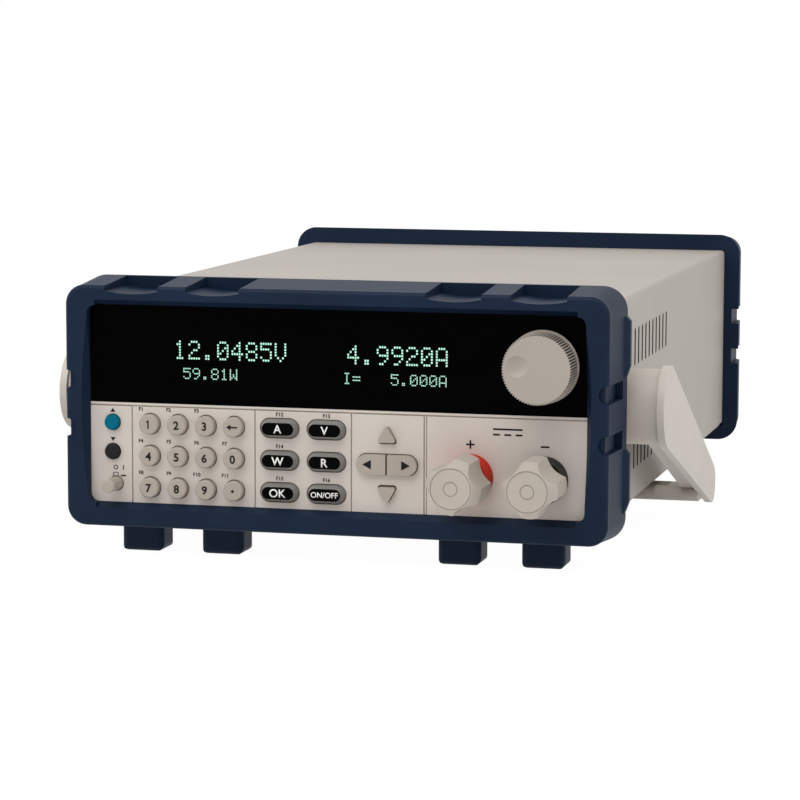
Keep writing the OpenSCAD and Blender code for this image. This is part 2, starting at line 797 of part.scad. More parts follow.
module encoder_knob() {
    face = knob_gap + knob_len;
    grip = knob_len - rim_t;
    chamfer = 0.3;
    bowl_r = 9;
    bowl_sink = sqrt(pow(bowl_r, 2) - pow(dimple_r, 2));
    color([0.78, 0.74, 0.7]) on_front() translate([knob_x, knob_z, 0]) difference() {
        union() {
            translate([0, 0, knob_gap]) cylinder(h = rim_t, r = knob_r + rim_proud);
            translate([0, 0, knob_gap + rim_t]) intersection() {
                linear_extrude(grip) polygon(rib_points());
                cylinder(h = grip, r1 = knob_r + grip - chamfer, r2 = knob_r - chamfer);
            }
        }
        translate([0, 0, -1]) cylinder(h = shaft_tip + knob_gap + 1 + running_gap, r = shaft_r + running_gap);
        translate([0, 0, -1]) cylinder(h = knob_gap + 5, r = bush_r + 2 * free_gap);
        translate([dimple_r + 2 - knob_r, 1.2, face + bowl_sink]) sphere(bowl_r);
    }
}

// Encoder housing with its threaded bush through the panel
module encoder_body() {
    color([0.45, 0.46, 0.48]) on_front() translate([knob_x, knob_z, 0]) difference() {
        union() {
            translate([-encoder_w / 2, -encoder_w / 2, -panel_t - encoder_t])
                cube([encoder_w, encoder_w, encoder_t]);
            translate([0, 0, -panel_t - 1]) cylinder(h = panel_t + knob_gap + 4, r = bush_r);
        }
        translate([0, 0, -panel_t - encoder_t + 2])
            cylinder(h = encoder_t + panel_t + 10, r = shaft_r + running_gap);
    }
}

module encoder_shaft() {
    tail = panel_t + encoder_t - 2 - fit_gap;
    color([0.7, 0.7, 0.72]) on_front() translate([knob_x, knob_z, -tail])
        cylinder(h = tail + knob_gap + shaft_tip, r = shaft_r);
}

module post_base(pole) {
    tints = [[0.75, 0.2, 0.14], [0.06, 0.06, 0.06]];
    color(tints[pole]) on_front() translate([post_at[pole], post_z, 0]) difference() {
        union() {
            cylinder(h = post_base_t, r1 = post_base_r, r2 = post_base_r - 0.3);
            translate([0, 0, -panel_t]) cylinder(h = panel_t + 1, r = boss_r);
        }
        translate([0, 0, -panel_t - 1]) cylinder(h = panel_t + post_base_t + 2, r = stud_r + running_gap);
    }
}

// Two brass studs with the hexagon nuts that hold them behind the panel
module post_studs() {
    color([0.72, 0.56, 0.25]) on_front() for (x = post_at) translate([x, post_z, 0]) {
        translate([0, 0, -stud_back]) cylinder(h = stud_back + stud_front, r = stud_r);
        translate([0, 0, -panel_t - nut_t]) cylinder(h = nut_t, r = nut_r, $fn = 6);
    }
}

module clamp_washer(pole) {
    color([0.75, 0.75, 0.76]) on_front() translate([post_at[pole], post_z, post_base_t]) difference() {
        cylinder(h = washer_t, r = washer_r);
        translate([0, 0, -1]) cylinder(h = washer_t + 2, r = stud_r + running_gap);
    }
}

// Lobed outline of a cap: a circle with four hollows between its lobes
module cap_outline() {
    edge = cap_r * [cos(45 - lobe_half), sin(45 - lobe_half)];
    dip = edge[0] - cap_waist;
    hollow = (pow(edge[1], 2) + pow(dip, 2)) / (2 * dip);
    difference() {
        circle(cap_r);
        for (i = [0 : 3]) rotate(45 + 90 * i) translate([cap_waist + hollow, 0]) circle(hollow);
    }
}

// Screw cap: lobes cut back by a cone, a raised face ring and a small centre button
module post_cap(pole) {
    face_ring = 8.2;
    button_r = 2.9;
    line_t = 0.35;
    mouth_r = stud_r + fit_gap;
    slope_r = cap_r + 0.2;
    color([0.76, 0.73, 0.68]) on_front() translate([post_at[pole], post_z, cap_foot])
        rotate(cap_turns[pole]) difference() {
            intersection() {
                linear_extrude(cap_len) cap_outline();
                union() {
                    cylinder(h = cap_len - cap_cone, r = slope_r);
                    translate([0, 0, cap_len - cap_cone])
                        cylinder(h = cap_cone, r1 = slope_r, r2 = face_ring + 0.3);
                }
            }
            translate([0, 0, -1]) cylinder(h = cap_len - 4, r = mouth_r);
            for (ring = [face_ring, button_r]) translate([0, 0, cap_len - line_t]) difference() {
                cylinder(h = 1, r = ring);
                translate([0, 0, -1]) cylinder(h = 3, r = ring - line_t);
            }
        }
}

// Fixed hubs on the case's sides, each flared at its foot and with a pivot pin at its end
module handle_pivots() {
    color([0.72, 0.69, 0.65]) standing() for (side = [0, 1]) mirror([side, 0, 0])
        translate([half_w, pivot_y, pivot_z]) rotate([0, 90, 0]) {
            cylinder(h = hub_len, r = hub_r);
            cylinder(h = 3 * flare, r1 = hub_r + flare, r2 = hub_r);
            cylinder(h = hub_len + free_gap + pin_len, r = pin_r);
        }
}

// An arm: an outer plate on the pivot pin, and a rib that stiffens it down to the grip bar
module handle_arm(side) {
    color([0.76, 0.73, 0.68]) standing() mirror([1 - side, 0, 0]) difference() {
        translate([0, pivot_y, pivot_z]) on_side() rotate(-arm_tilt) {
            translate([0, 0, plate_in]) linear_extrude(arm_t) tapered_link(arm_r, arm_end_r, arm_len);
            translate([0, 0, rib_in]) linear_extrude(arm_rib + EPS) difference() {
                tapered_link(arm_r - rib_inset, arm_end_r - rib_inset + 2, arm_len);
                tapered_link(arm_r - rib_inset - rib_t, arm_end_r - rib_inset + 2 - rib_t, arm_len);
                circle(hub_r + 4 * free_gap);
            }
        }
        translate([plate_in - 1, pivot_y, pivot_z]) rotate([0, 90, 0])
            cylinder(h = 1 + pin_len + free_gap, r = pin_r + running_gap);
        translate([0, bar_y, bar_z]) on_side() linear_extrude(plate_in)
            stadium(bar_w + 2 * fit_gap, bar_t + 2 * fit_gap);
    }
}

// Grip bar between the arms, with a moulding groove along its upper side
module handle_bar() {
    groove_end = 14;
    color([0.62, 0.59, 0.54]) standing() translate([0, bar_y, bar_z]) difference() {
        translate([-plate_in, 0, 0]) on_side() linear_extrude(2 * plate_in) stadium(bar_w, bar_t);
        translate([groove_end - plate_in, -bar_groove_w / 2, bar_t / 2 - bar_groove_t])
            cube([2 * (plate_in - groove_end), bar_groove_w, bar_groove_t + 1]);
    }
}

// Cut-out for a square piece, a little larger than the piece
module loose_square(w, h) {
    square([w + 2 * fit_gap, h + 2 * fit_gap], center = true);
}

// Plate with the openings for the fan, the inlet and the sockets; seen from behind, x is mirrored
module rear_panel() {
    color([0.7, 0.68, 0.64]) on_rear() translate([0, 0, -plate_t]) linear_extrude(plate_t) difference() {
        translate([0, case_h / 2]) square([case_w - 2 * fit_gap, case_h - 2 * fit_gap], center = true);
        translate([-fan_x, fan_z]) circle(fan_r);
        translate([-inlet_x, inlet_z]) loose_square(inlet_w, inlet_h);
        for (at = screw_at) translate(at) circle(screw_r + fit_gap);
        translate([-serial_x, socket_z]) loose_square(serial_w, serial_h);
        translate([-block_x, socket_z]) loose_square(block_w, block_h);
        translate([-usb_x, inlet_z]) loose_square(usb_w, usb_w);
    }
}

// Square housing, four struts and the motor's bearing tube
module fan_frame() {
    color([0.07, 0.07, 0.07]) on_rear() translate([-fan_x, fan_z, -plate_t - fan_t]) difference() {
        union() {
            linear_extrude(fan_t) difference() {
                rounded_rect(fan_size, fan_size, 3);
                circle(fan_r);
            }
            linear_extrude(3) intersection() {
                for (turn = [0, 90]) rotate(turn) square([2 * fan_r + 2, strut_w], center = true);
                circle(fan_r + 1);
            }
            cylinder(h = 3, r = fan_hub_r);
            cylinder(h = fan_t - 6, r = axle_r + 3);
        }
        translate([0, 0, 3]) cylinder(h = fan_t, r = axle_r + running_gap);
        for (sx = [-1, 1], sy = [-1, 1]) translate([sx * fan_screw, sy * fan_screw, -1])
            cylinder(h = fan_t + 2, r = 2.15);
    }
}

// Hub cup with its axle and tilted blades
module fan_rotor() {
    cup = fan_t - 5;
    tip_r = fan_r - 1.2;
    blade_pitch = 38;
    color([0.1, 0.1, 0.1]) on_rear() translate([-fan_x, fan_z, -plate_t - fan_t]) {
        difference() {
            translate([0, 0, 4]) cylinder(h = cup, r = fan_hub_r);
            translate([0, 0, 3]) cylinder(h = cup - 1, r = fan_hub_r - 1.5);
        }
        translate([0, 0, 4]) cylinder(h = cup - 1, r = axle_r);
        intersection() {
            for (i = [0 : blade_count - 1]) rotate(360 * i / blade_count) rotate([blade_pitch, 0, 0])
                translate([fan_hub_r - 0.8, -14, -0.8 + 0.5 * fan_t]) cube([tip_r, 28, 1.6]);
            translate([0, 0, 4.5]) difference() {
                cylinder(h = cup - 1, r = tip_r);
                translate([0, 0, -1]) cylinder(h = cup + 1, r = fan_hub_r - 0.8);
            }
        }
    }
}

// Finger guard: rings on four spokes, held by four screw eyes
module fan_guard() {
    rings = [4, 10, 16, 22, 28, 34];
    wire = 2 * guard_wire;
    eye_r = screw_r + 2;
    eye_at = sqrt(2) * fan_screw;
    color([0.75, 0.75, 0.76]) on_rear() translate([-fan_x, fan_z, 0]) {
        for (r = rings) translate([0, 0, guard_wire]) linear_extrude(wire) difference() {
            circle(r + guard_wire);
            circle(r - guard_wire);
        }
        for (turn = [45 : 90 : 315]) rotate(turn) {
            translate([rings[0], -guard_wire, 0]) cube([eye_at - eye_r - rings[0] + 1, wire, wire]);
            translate([eye_at, 0, 0]) difference() {
                cylinder(h = wire, r = eye_r);
                translate([0, 0, -1]) cylinder(h = wire + 2, r = screw_r + fit_gap);
            }
        }
    }
}

// Finned extrusion in the air path ahead of the fan
module heatsink() {
    fin_h = fan_z + fan_size / 2 - floor_z - sink_base;
    gap = (sink_w - fin_t) / (fin_count - 1);
    color([0.7, 0.71, 0.73]) standing() translate([fan_x - sink_w / 2, sink_back, floor_z])
        rotate([90, 0, 0]) linear_extrude(sink_back - sink_front) {
            square([sink_w, sink_base]);
            for (i = [0 : fin_count - 1]) translate([i * gap, 0]) square([fin_t, sink_base + fin_h]);
        }
}

// Power transistors clamped to the heatsink's left flank
module power_transistors() {
    tab_t = 5;
    tab_w = 16;
    tab_h = 21;
    count = 4;
    step = (sink_back - sink_front) / count;
    flank = fan_x - sink_w / 2;
    color([0.08, 0.08, 0.08]) standing() for (i = [0 : count - 1])
        translate([flank - tab_t, sink_front + (i + 0.5) * step - tab_w / 2, floor_z + sink_base + 6])
            cube([tab_t, tab_w, tab_h]);
}

// Control board on the tray's spacers, with its row of capacitors and a relay
module main_board() {
    can_r = 9;
    can_h = 30;
    can_pitch = 24;
    relay = [20, 28, 18];
    color([0.1, 0.35, 0.2]) standing() translate([0, 0, floor_z]) {
        translate([board_x0, board_y0, 0]) cube([board_x1 - board_x0, board_y1 - board_y0, plate_t]);
        for (i = [0 : 3]) translate([board_x0 + 22, board_y1 - 30 - i * can_pitch, 0])
            cylinder(h = can_h, r = can_r);
        translate([board_x1 - relay[0] - 14, board_y1 - relay[1] - 32, 0]) cube(relay);
    }
}

// Laminated core with its winding, standing on the control board
module mains_transformer() {
    core = [54, 22, 45];
    coil = [30, 40, 28];
    mid = [(board_x0 + board_x1) / 2, board_y0 + 40, floor_z + plate_t];
    color([0.35, 0.33, 0.3]) standing() translate(mid) {
        translate([-core[0] / 2, -core[1] / 2, 0]) cube(core);
        translate([-coil[0] / 2, -coil[1] / 2, (core[2] - coil[2]) / 2]) cube(coil);
    }
}

// Appliance inlet: flange with screw ears, open cup and three flat pins
module mains_inlet() {
    flange_t = 2.5;
    cup_depth = 17;
    pin = [2, 4, 14];
    color([0.06, 0.06, 0.06]) on_rear() translate([-inlet_x, inlet_z, 0]) {
        difference() {
            union() {
                linear_extrude(flange_t) difference() {
                    rounded_rect(inlet_ear, inlet_h + 4, 4);
                    for (side = [-1, 1]) translate([side * (inlet_ear / 2 - 5), 0])
                        circle(screw_r + fit_gap);
                }
                translate([-inlet_w / 2, -inlet_h / 2, -inlet_d]) cube([inlet_w, inlet_h, inlet_d + EPS]);
            }
            translate([0, 0, flange_t - cup_depth]) linear_extrude(cup_depth + 1)
                rounded_rect(inlet_w - 2 * inlet_wall, inlet_h - 2 * inlet_wall, 2);
        }
        for (at = [[-7, 1.5], [0, 5.2], [7, 1.5]])
            translate([at[0] - pin[0] / 2, at[1] - pin[1] / 2, flange_t - cup_depth - EPS]) cube(pin);
    }
}

// Serial socket, pluggable sense terminals and a square data socket
module rear_sockets() {
    way_pitch = 5;
    color([0.3, 0.32, 0.33]) on_rear() {
        translate([-serial_x, socket_z, -socket_depth]) difference() {
            linear_extrude(socket_depth + socket_proud) rounded_rect(serial_w, serial_h, 2);
            translate([0, 0, socket_depth + socket_proud - 1]) linear_extrude(2)
                rounded_rect(serial_w - 2, serial_h - 2, 1.5);
        }
        translate([-block_x, socket_z, -socket_depth]) difference() {
            linear_extrude(socket_depth + socket_proud) square([block_w, block_h], center = true);
            for (i = [0 : 5]) translate([(i - 2.5) * way_pitch, 0, socket_depth + socket_proud - 4])
                linear_extrude(5) square(3, center = true);
        }
        translate([-usb_x, inlet_z, -socket_depth]) difference() {
            linear_extrude(socket_depth + 1) square(usb_w, center = true);
            translate([0, 0, socket_depth - 7]) linear_extrude(9) difference() {
                square(usb_w - 3, center = true);
                square([usb_w - 6, 3.2], center = true);
            }
        }
    }
}

// Pan-head screws of the fan guard and the inlet
module case_screws() {
    shank = 10;
    color([0.65, 0.65, 0.67]) on_rear() for (i = [0 : len(screw_at) - 1]) {
        seat = i < 4 ? 2 * guard_wire : 2.5;
        translate([screw_at[i][0], screw_at[i][1], 0]) {
            translate([0, 0, seat]) cylinder(h = screw_head_t, r = screw_head_r);
            translate([0, 0, seat - shank]) cylinder(h = shank + EPS, r = screw_r);
        }
    }
}

front_bumper();
rear_bumper();
top_cover();
chassis_tray();
front_panel();
display_window();
display_module();
key_mat();
front_board();
encoder_knob();
encoder_body();
encoder_shaft();
power_button();
power_switch();
post_studs();
handle_pivots();
handle_bar();
rear_panel();
fan_frame();
fan_rotor();
fan_guard();
heatsink();
power_transistors();
main_board();
mains_transformer();
mains_inlet();
rear_sockets();
case_screws();
rising_arrow(0);  // key_up
rising_arrow(180);  // key_down
side_arrow(-1);  // key_left
side_arrow(1);  // key_right
for (i = [0 : len(DIGIT_KEYS) - 1])
    digit_key(number_at[i]);
for (i = [0 : len(FUNCTION_KEYS) - 1])
    function_key(function_at[i]);
small_key(small_at[0], [0.05, 0.5, 0.58]);  // key_shift
small_key(small_at[1], [0.2, 0.2, 0.21]);  // key_local
for (i = [0, 1]) post_base(i);
for (i = [0, 1]) clamp_washer(i);
for (i = [0, 1]) post_cap(i);
for (i = [0, 1]) handle_arm(i);
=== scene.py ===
"""Dresses the bench electronic load: finishes, printed marks, display dots and the studio."""

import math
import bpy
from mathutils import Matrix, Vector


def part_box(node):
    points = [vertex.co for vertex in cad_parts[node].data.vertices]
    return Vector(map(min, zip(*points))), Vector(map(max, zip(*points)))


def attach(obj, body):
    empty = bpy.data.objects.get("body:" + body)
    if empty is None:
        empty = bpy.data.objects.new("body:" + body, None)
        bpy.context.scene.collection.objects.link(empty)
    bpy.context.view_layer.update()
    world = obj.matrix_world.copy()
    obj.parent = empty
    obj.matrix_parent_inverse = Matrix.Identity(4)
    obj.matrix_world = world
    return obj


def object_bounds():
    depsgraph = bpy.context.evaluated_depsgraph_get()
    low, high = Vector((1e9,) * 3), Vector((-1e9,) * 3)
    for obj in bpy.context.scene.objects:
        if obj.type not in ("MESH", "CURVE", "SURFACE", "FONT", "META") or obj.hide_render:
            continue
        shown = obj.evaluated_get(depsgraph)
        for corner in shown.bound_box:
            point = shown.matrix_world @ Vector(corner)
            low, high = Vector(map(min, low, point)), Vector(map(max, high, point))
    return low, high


bl_info = {
    "name": "Electronic Load Dresser",
    "version": (1, 0, 0),
    "blender": (4, 5, 0),
    "location": "3D View > Sidebar > Electronic Load",
    "description": "Gives the electronic load's solids their finishes, marks, display and studio",
    "category": "Object",
}

import bmesh
import bpy
from mathutils import Matrix, Vector

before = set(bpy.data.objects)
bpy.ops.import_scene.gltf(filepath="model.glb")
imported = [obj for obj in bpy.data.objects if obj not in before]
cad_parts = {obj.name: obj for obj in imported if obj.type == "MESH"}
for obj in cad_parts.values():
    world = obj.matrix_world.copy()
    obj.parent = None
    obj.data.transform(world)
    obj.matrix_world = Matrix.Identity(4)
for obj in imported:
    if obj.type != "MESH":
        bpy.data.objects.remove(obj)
CAD_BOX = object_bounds()

MM = 0.001

# Boldness of the letters, as an offset of their outline at a size of one
NUMBER_WEIGHT = 0.03
FUNCTION_WEIGHT = 0.015
SECOND_WEIGHT = 0.025
# Height of a long function mark as a share of a short one's
LONG_MARK = 0.68
LETTER_STEPS = 6
KNOB_ROUGH = 0.46
WELD = 1e-5
# Lit share of a display dot's spacing, and dots in a character's width with its gap
DOT_FILL = 0.68
DOT_COLUMNS = 6

NUMBER_LABELS = {
    "key_1": "1", "key_2": "2", "key_3": "3",
    "key_4": "4", "key_5": "5", "key_6": "6", "key_0": "0",
    "key_7": "7", "key_8": "8", "key_9": "9",
}
FUNCTION_LABELS = {
    "key_current": "A", "key_voltage": "V",
    "key_power": "W", "key_resistance": "R",
    "key_enter": "OK", "key_on_off": "ON/OFF",
}
ARROW_KEYS = ("key_up", "key_down", "key_left", "key_right")
SHIFTED_KEYS = (
    "key_1", "key_2", "key_3", "key_4", "key_5", "key_6", "key_0",
    "key_7", "key_8", "key_9", "key_point",
    "key_current", "key_voltage", "key_power", "key_enter", "key_on_off",
)

# Five by seven dots for each character that the display shows, row by row from the top
DOT_GLYPHS = {
    "0": ("01110", "10001", "10011", "10101", "11001", "10001", "01110"),
    "1": ("00100", "01100", "00100", "00100", "00100", "00100", "01110"),
    "2": ("01110", "10001", "00001", "00110", "01000", "10000", "11111"),
    "4": ("00010", "00110", "01010", "10010", "11111", "00010", "00010"),
    "5": ("11111", "10000", "11110", "00001", "00001", "10001", "01110"),
    "8": ("01110", "10001", "10001", "01110", "10001", "10001", "01110"),
    "9": ("01110", "10001", "10001", "01111", "00001", "00010", "01100"),
    ".": ("00000", "00000", "00000", "00000", "00000", "01100", "01100"),
    "=": ("00000", "00000", "11111", "00000", "11111", "00000", "00000"),
    "A": ("01110", "10001", "10001", "10001", "11111", "10001", "10001"),
    "I": ("01110", "00100", "00100", "00100", "00100", "00100", "01110"),
    "V": ("10001", "10001", "10001", "10001", "10001", "01010", "00100"),
    "W": ("10001", "10001", "10001", "10101", "10101", "11011", "10001"),
    " ": ("00000",) * 7,
}


def length(name, description, millimetres):
    """A length property with its default in millimetres."""
    return bpy.props.FloatProperty(
        name=name, description=description, default=millimetres * MM,
        subtype="DISTANCE", unit="LENGTH", precision=5,
    )


def colour(name, description, red, green, blue):
    """A colour property with a linear default."""
    return bpy.props.FloatVectorProperty(
        name=name, description=description, default=(red, green, blue),
        subtype="COLOR", size=3, min=0.0, max=1.0,
    )


def position(name, description, x, y, z):
    """A place or offset property with its default in metres."""
    return bpy.props.FloatVectorProperty(
        name=name, description=description, default=(x, y, z),
        subtype="TRANSLATION", unit="LENGTH", precision=5,
    )


def turning(name, description, radians):
    """An angle property."""
    return bpy.props.FloatProperty(
        name=name, description=description, default=radians, subtype="ANGLE"
    )


def wattage(name, description, watts):
    """A light's power property."""
    return bpy.props.FloatProperty(
        name=name, description=description, default=watts, unit="POWER"
    )


def amount(name, description, value):
    """A plain factor."""
    return bpy.props.FloatProperty(name=name, description=description, default=value, min=0.0)


class LoadSizes(bpy.types.PropertyGroup):
    """Sizes of the case, the keys, the knob and the display."""

    sheet: length("Sheet thickness", "Thickness of the case's sheet metal", 1.2)
    key_slope: length("Key slope", "Width of a function key's sloping rim from the front", 2.15)
    rib_crest: length("Rib crest", "Distance of the knob's rib crests from its axis", 14.1)
    rib_depth: length("Rib depth", "Depth of the knob's ribs", 0.8)
    dot_depth: length("Dot depth", "Thickness of the display's dots", 0.06)
    big_dot_x: length("Large dot spacing", "Sideways spacing of the large readings' dots", 1.015)
    big_dot_z: length("Large dot rise", "Upward spacing of the large readings' dots", 1.13)
    small_dot_x: length("Small dot spacing", "Sideways spacing of the small readings' dots", 0.66)
    small_dot_z: length("Small dot rise", "Upward spacing of the small readings' dots", 0.67)
    volts_left: length("Volts", "Left edge of the voltage reading", -67.6)
    amps_left: length("Amps", "Left edge of the current reading", 5.4)
    watts_left: length("Watts", "Left edge of the power reading", -67.7)
    set_left: length("Set value", "Left edge of the set current", 3.7)
    upper_foot: length("Upper line", "Foot of the large readings above the case's underside", 64.2)
    lower_foot: length("Lower line", "Foot of the small readings above the case's underside", 56.2)
    recess_long: length("Recess length", "Length of a screw recess's arms", 3.2)
    recess_wide: length("Recess width", "Width of a screw recess's arms", 0.7)
    recess_depth: length("Recess depth", "Thickness of a screw recess's dark mark", 0.1)
    screw_span: length("Screw span", "Points this close together belong to one screw head", 6.0)


class MarkSizes(bpy.types.PropertyGroup):
    """Sizes of the printed marks."""

    ink: length("Ink thickness", "How far printed marks stand on their surface", 0.06)
    inlay: length("Inlay thickness", "How far a function key's dark inlay stands on its face", 0.12)
    inlay_edge: length("Inlay edge", "Grey edge left around a function key's inlay", 0.1)
    number_cap: length("Number height", "Height of the figures on the number keys", 3.5)
    function_cap: length("Function mark height", "Height of the marks on the function keys", 3.4)
    point: length("Decimal point", "Half the width of the decimal point's lozenge", 0.75)
    arrow_base: length("Arrow base", "Width of the arrows on the side keys", 3.9)
    arrow_rise: length("Arrow length", "Length of the arrows on the side keys", 3.6)
    arrow_shift: length("Arrow shift", "How far those arrows stand off their keys' middles", 1.2)
    shaft_long: length("Return shaft", "Length of the return arrow's shaft", 3.0)
    shaft_wide: length("Return stroke", "Thickness of the return arrow's shaft", 0.6)
    shaft_shift: length("Shaft shift", "How far the shaft stands right of its key's middle", 0.6)
    head_base: length("Return head", "Width of the return arrow's head", 2.4)
    head_rise: length("Return head length", "Length of the return arrow's head", 1.8)
    head_shift: length("Head shift", "How far the head stands left of its key's middle", 1.6)
    second_cap: length("Second mark height", "Height of the small marks above the keys", 1.6)
    second_lift: length("Second mark lift", "Height of the small marks above their keys", 0.9)
    second_shift: length("Second mark shift", "How far the number keys' marks stand left", 4.2)
    pointer_base: length("Pointer base", "Width of the pointers above the small round keys", 2.2)
    pointer_rise: length("Pointer height", "Height of the pointers above the small round keys", 1.6)
    pointer_lift: length("Pointer lift", "Height of the pointers' middles above their keys", 1.0)
    power_lift: length("Power sign lift", "Height of the on and off signs above the button", 3.8)
    power_drop: length("Power sign drop", "How far the button's signs stand below those", 2.9)
    off_shift: length("Off shift", "How far the off sign stands left of the button's middle", 0.3)
    on_shift: length("On shift", "How far the on sign stands right of the button's middle", 3.0)
    ring_outer: length("Ring", "Outer radius of the off sign", 1.0)
    ring_inner: length("Ring hole", "Inner radius of the off sign", 0.65)
    on_wide: length("On stroke", "Width of the on sign", 0.4)
    on_tall: length("On height", "Height of the on sign", 2.0)
    frame_wide: length("Frame width", "Width of the sign for the button let out", 2.0)
    frame_tall: length("Frame height", "Height of the sign for the button let out", 1.5)
    frame_stroke: length("Frame stroke", "Stroke of the sign for the button let out", 0.3)
    dash_wide: length("Dash width", "Width of the sign for the button pressed in", 2.2)
    dash_tall: length("Dash height", "Height of the sign for the button pressed in", 0.6)
    dash_drop: length("Dash drop", "How far that sign stands below the other one's middle", 0.5)
    sign_cap: length("Sign height", "Height of the signs above the terminals", 3.5)
    sign_stroke: length("Sign stroke", "Stroke of the signs above the terminals", 0.7)
    sign_lift: length("Sign lift", "Height of the signs above the terminals' middles", 13.1)
    direct_lift: length("Direct current lift", "Height of the direct current sign above those", 5.4)
    direct_wide: length("Direct current width", "Width of the direct current sign", 12.0)
    direct_gap: length("Direct current gap", "Half the spacing of its two lines", 1.1)
    stripe_wide: length("Stripe width", "Width of each stripe in its lower line", 2.8)
    stripe_pitch: length("Stripe pitch", "Spacing of the stripes in its lower line", 4.6)


class LoadColours(bpy.types.PropertyGroup):
    """Colours of the finishes."""

    bumper: colour("Bumper", "Moulded bumper rubber", 0.0062, 0.0150, 0.036)
    case: colour("Case", "Textured case paint", 0.425, 0.385, 0.345)
    # Painted shade: the vent slots' walls are dark to stand in for the shadow inside the slots
    vent_painted_shade: colour("Vent edge", "Punched walls of the vent slots", 0.02, 0.019, 0.016)
    panel: colour("Panel", "Front panel", 0.56, 0.505, 0.455)
    key: colour("Key", "Number and arrow keys", 0.36, 0.315, 0.27)
    function: colour("Function key", "Sloping rims of the function keys", 0.19, 0.18, 0.165)
    ink: colour("Dark ink", "Dark printed marks", 0.012, 0.012, 0.013)
    inlay: colour("Inlay", "Dark inlays of the function keys", 0.0015, 0.0015, 0.0015)
    light_ink: colour("Light ink", "Pale marks on dark inlays", 0.80, 0.79, 0.74)
    second_ink: colour("Second ink", "Small marks above the keys", 0.008, 0.008, 0.009)
    shift: colour("First small key", "Upper small round key", 0.001, 0.125, 0.20)
    local: colour("Second small key", "Lower small round key", 0.009, 0.009, 0.009)
    window: colour("Window", "Tinted display window", 0.0004, 0.0004, 0.0005)
    dots: colour("Display dots", "Lit dots of the display", 0.50, 0.95, 0.74)
    red: colour("Plus base", "Base of the plus terminal", 0.52, 0.018, 0.007)
    black: colour("Minus base", "Base of the minus terminal", 0.003, 0.003, 0.003)
    cap: colour("Screw cap", "Terminal screw caps", 0.43, 0.38, 0.33)
    knob: colour("Knob", "Control knob", 0.37, 0.325, 0.285)
    handle: colour("Handle", "Handle arms and hubs", 0.57, 0.52, 0.465)
    glass: colour("Display glass", "Unlit display behind the window", 0.01, 0.02, 0.018)
    brass: colour("Brass", "Terminal studs", 0.60, 0.42, 0.15)
    plate: colour("Plated steel", "Clamp washers", 0.62, 0.62, 0.63)
    steel: colour("Bright steel", "Fan guard, screws and encoder shaft", 0.60, 0.60, 0.61)
    aluminium: colour("Aluminium", "Heatsink", 0.60, 0.61, 0.62)
    black_plastic: colour("Black plastic", "Fan, inlet, switch and encoder", 0.014, 0.014, 0.014)
    socket: colour("Sockets", "Rear sockets", 0.05, 0.06, 0.065)
    # Painted shade: dark crosses on the screw heads stand in for the shadow in their recesses
    recess: colour("Recess", "Recesses in the screw heads", 0.02, 0.02, 0.021)
    track: colour("Tracks", "Copper tracks under the boards' green mask", 0.03, 0.13, 0.05)
    mask: colour("Mask", "Green mask of the boards", 0.012, 0.07, 0.03)
    varnish: colour("Varnish", "Transformer", 0.10, 0.085, 0.07)
    mat: colour("Key mat", "Rubber under the keys", 0.02, 0.02, 0.02)
    floor: colour("Floor", "Studio floor", 0.92, 0.92, 0.92)


class StudioSettings(bpy.types.PropertyGroup):
    """Camera, lights and floor."""

    camera: position("Camera", "Place of the camera", 0.32687, -1.34708, 0.21484)
    yaw: turning("Yaw", "Turn of the camera to the left", 0.2483)
    pitch: turning("Pitch", "Downward tilt of the camera", 0.1203)
    roll: turning("Roll", "Roll of the camera", 0.0025)
    sensor: bpy.props.FloatProperty(
        name="Sensor", description="Width of the camera's sensor", default=36.0, unit="CAMERA"
    )
    lens: bpy.props.FloatProperty(
        name="Lens", description="Focal length of the camera", default=138.03, unit="CAMERA"
    )
    key_power: wattage("Key light", "Power of the light above and ahead", 21.0)
    key_place: position("Key light place", "Offset of that light from the object", -0.25, -1.0, 1.5)
    key_width: length("Key light width", "Width of that light", 1400.0)
    fill_power: wattage("Fill light", "Power of the light on the left", 7.0)
    fill_place: position("Fill light place", "Offset of that light from the object", -1.5, -0.7, 0.5)
    fill_width: length("Fill light width", "Width of that light", 1200.0)
    side_power: wattage("Side light", "Power of the light on the right", 7.0)
    side_place: position("Side light place", "Offset of that light from the object", 1.5, -0.3, 0.7)
    side_width: length("Side light width", "Width of that light", 1200.0)
    world: amount("World light", "Strength of the even light from all round", 0.42)
    floor_reach: length("Floor reach", "Half the width of the floor", 30000.0)
    floor_glow: amount("Floor glow", "Strength of the floor's own light", 1.05)
    floor_share: amount("Floor share", "Share of that light in what the camera sees", 0.93)


def sizes():
    """Sizes set for the scene."""
    return bpy.context.scene.load_sizes


def marks():
    """Sizes of the printed marks set for the scene."""
    return bpy.context.scene.load_marks


def colours():
    """Colours set for the scene."""
    return bpy.context.scene.load_colours


# Finishes


def new_finish(name):
    """A material with its node tree, its surface shader and an object coordinate."""
    material = bpy.data.materials.new(name)
    material.use_nodes = True
    nodes = material.node_tree.nodes
    surface = nodes["Principled BSDF"]
    where = nodes.new("ShaderNodeTexCoord")
    return material, nodes, material.node_tree.links, surface, where.outputs["Object"]


def add_noise(nodes, links, where, scale, detail=3.0, stretch=None):
    """A noise over object coordinates, drawn out along an axis when stretch is given."""
    noise = nodes.new("ShaderNodeTexNoise")
    noise.inputs["Scale"].default_value = scale
    noise.inputs["Detail"].default_value = detail
    if stretch:
        mapping = nodes.new("ShaderNodeMapping")
        mapping.inputs["Scale"].default_value = stretch
        links.new(where, mapping.inputs["Vector"])
        where = mapping.outputs["Vector"]
    links.new(where, noise.inputs["Vector"])
    return noise.outputs["Fac"]


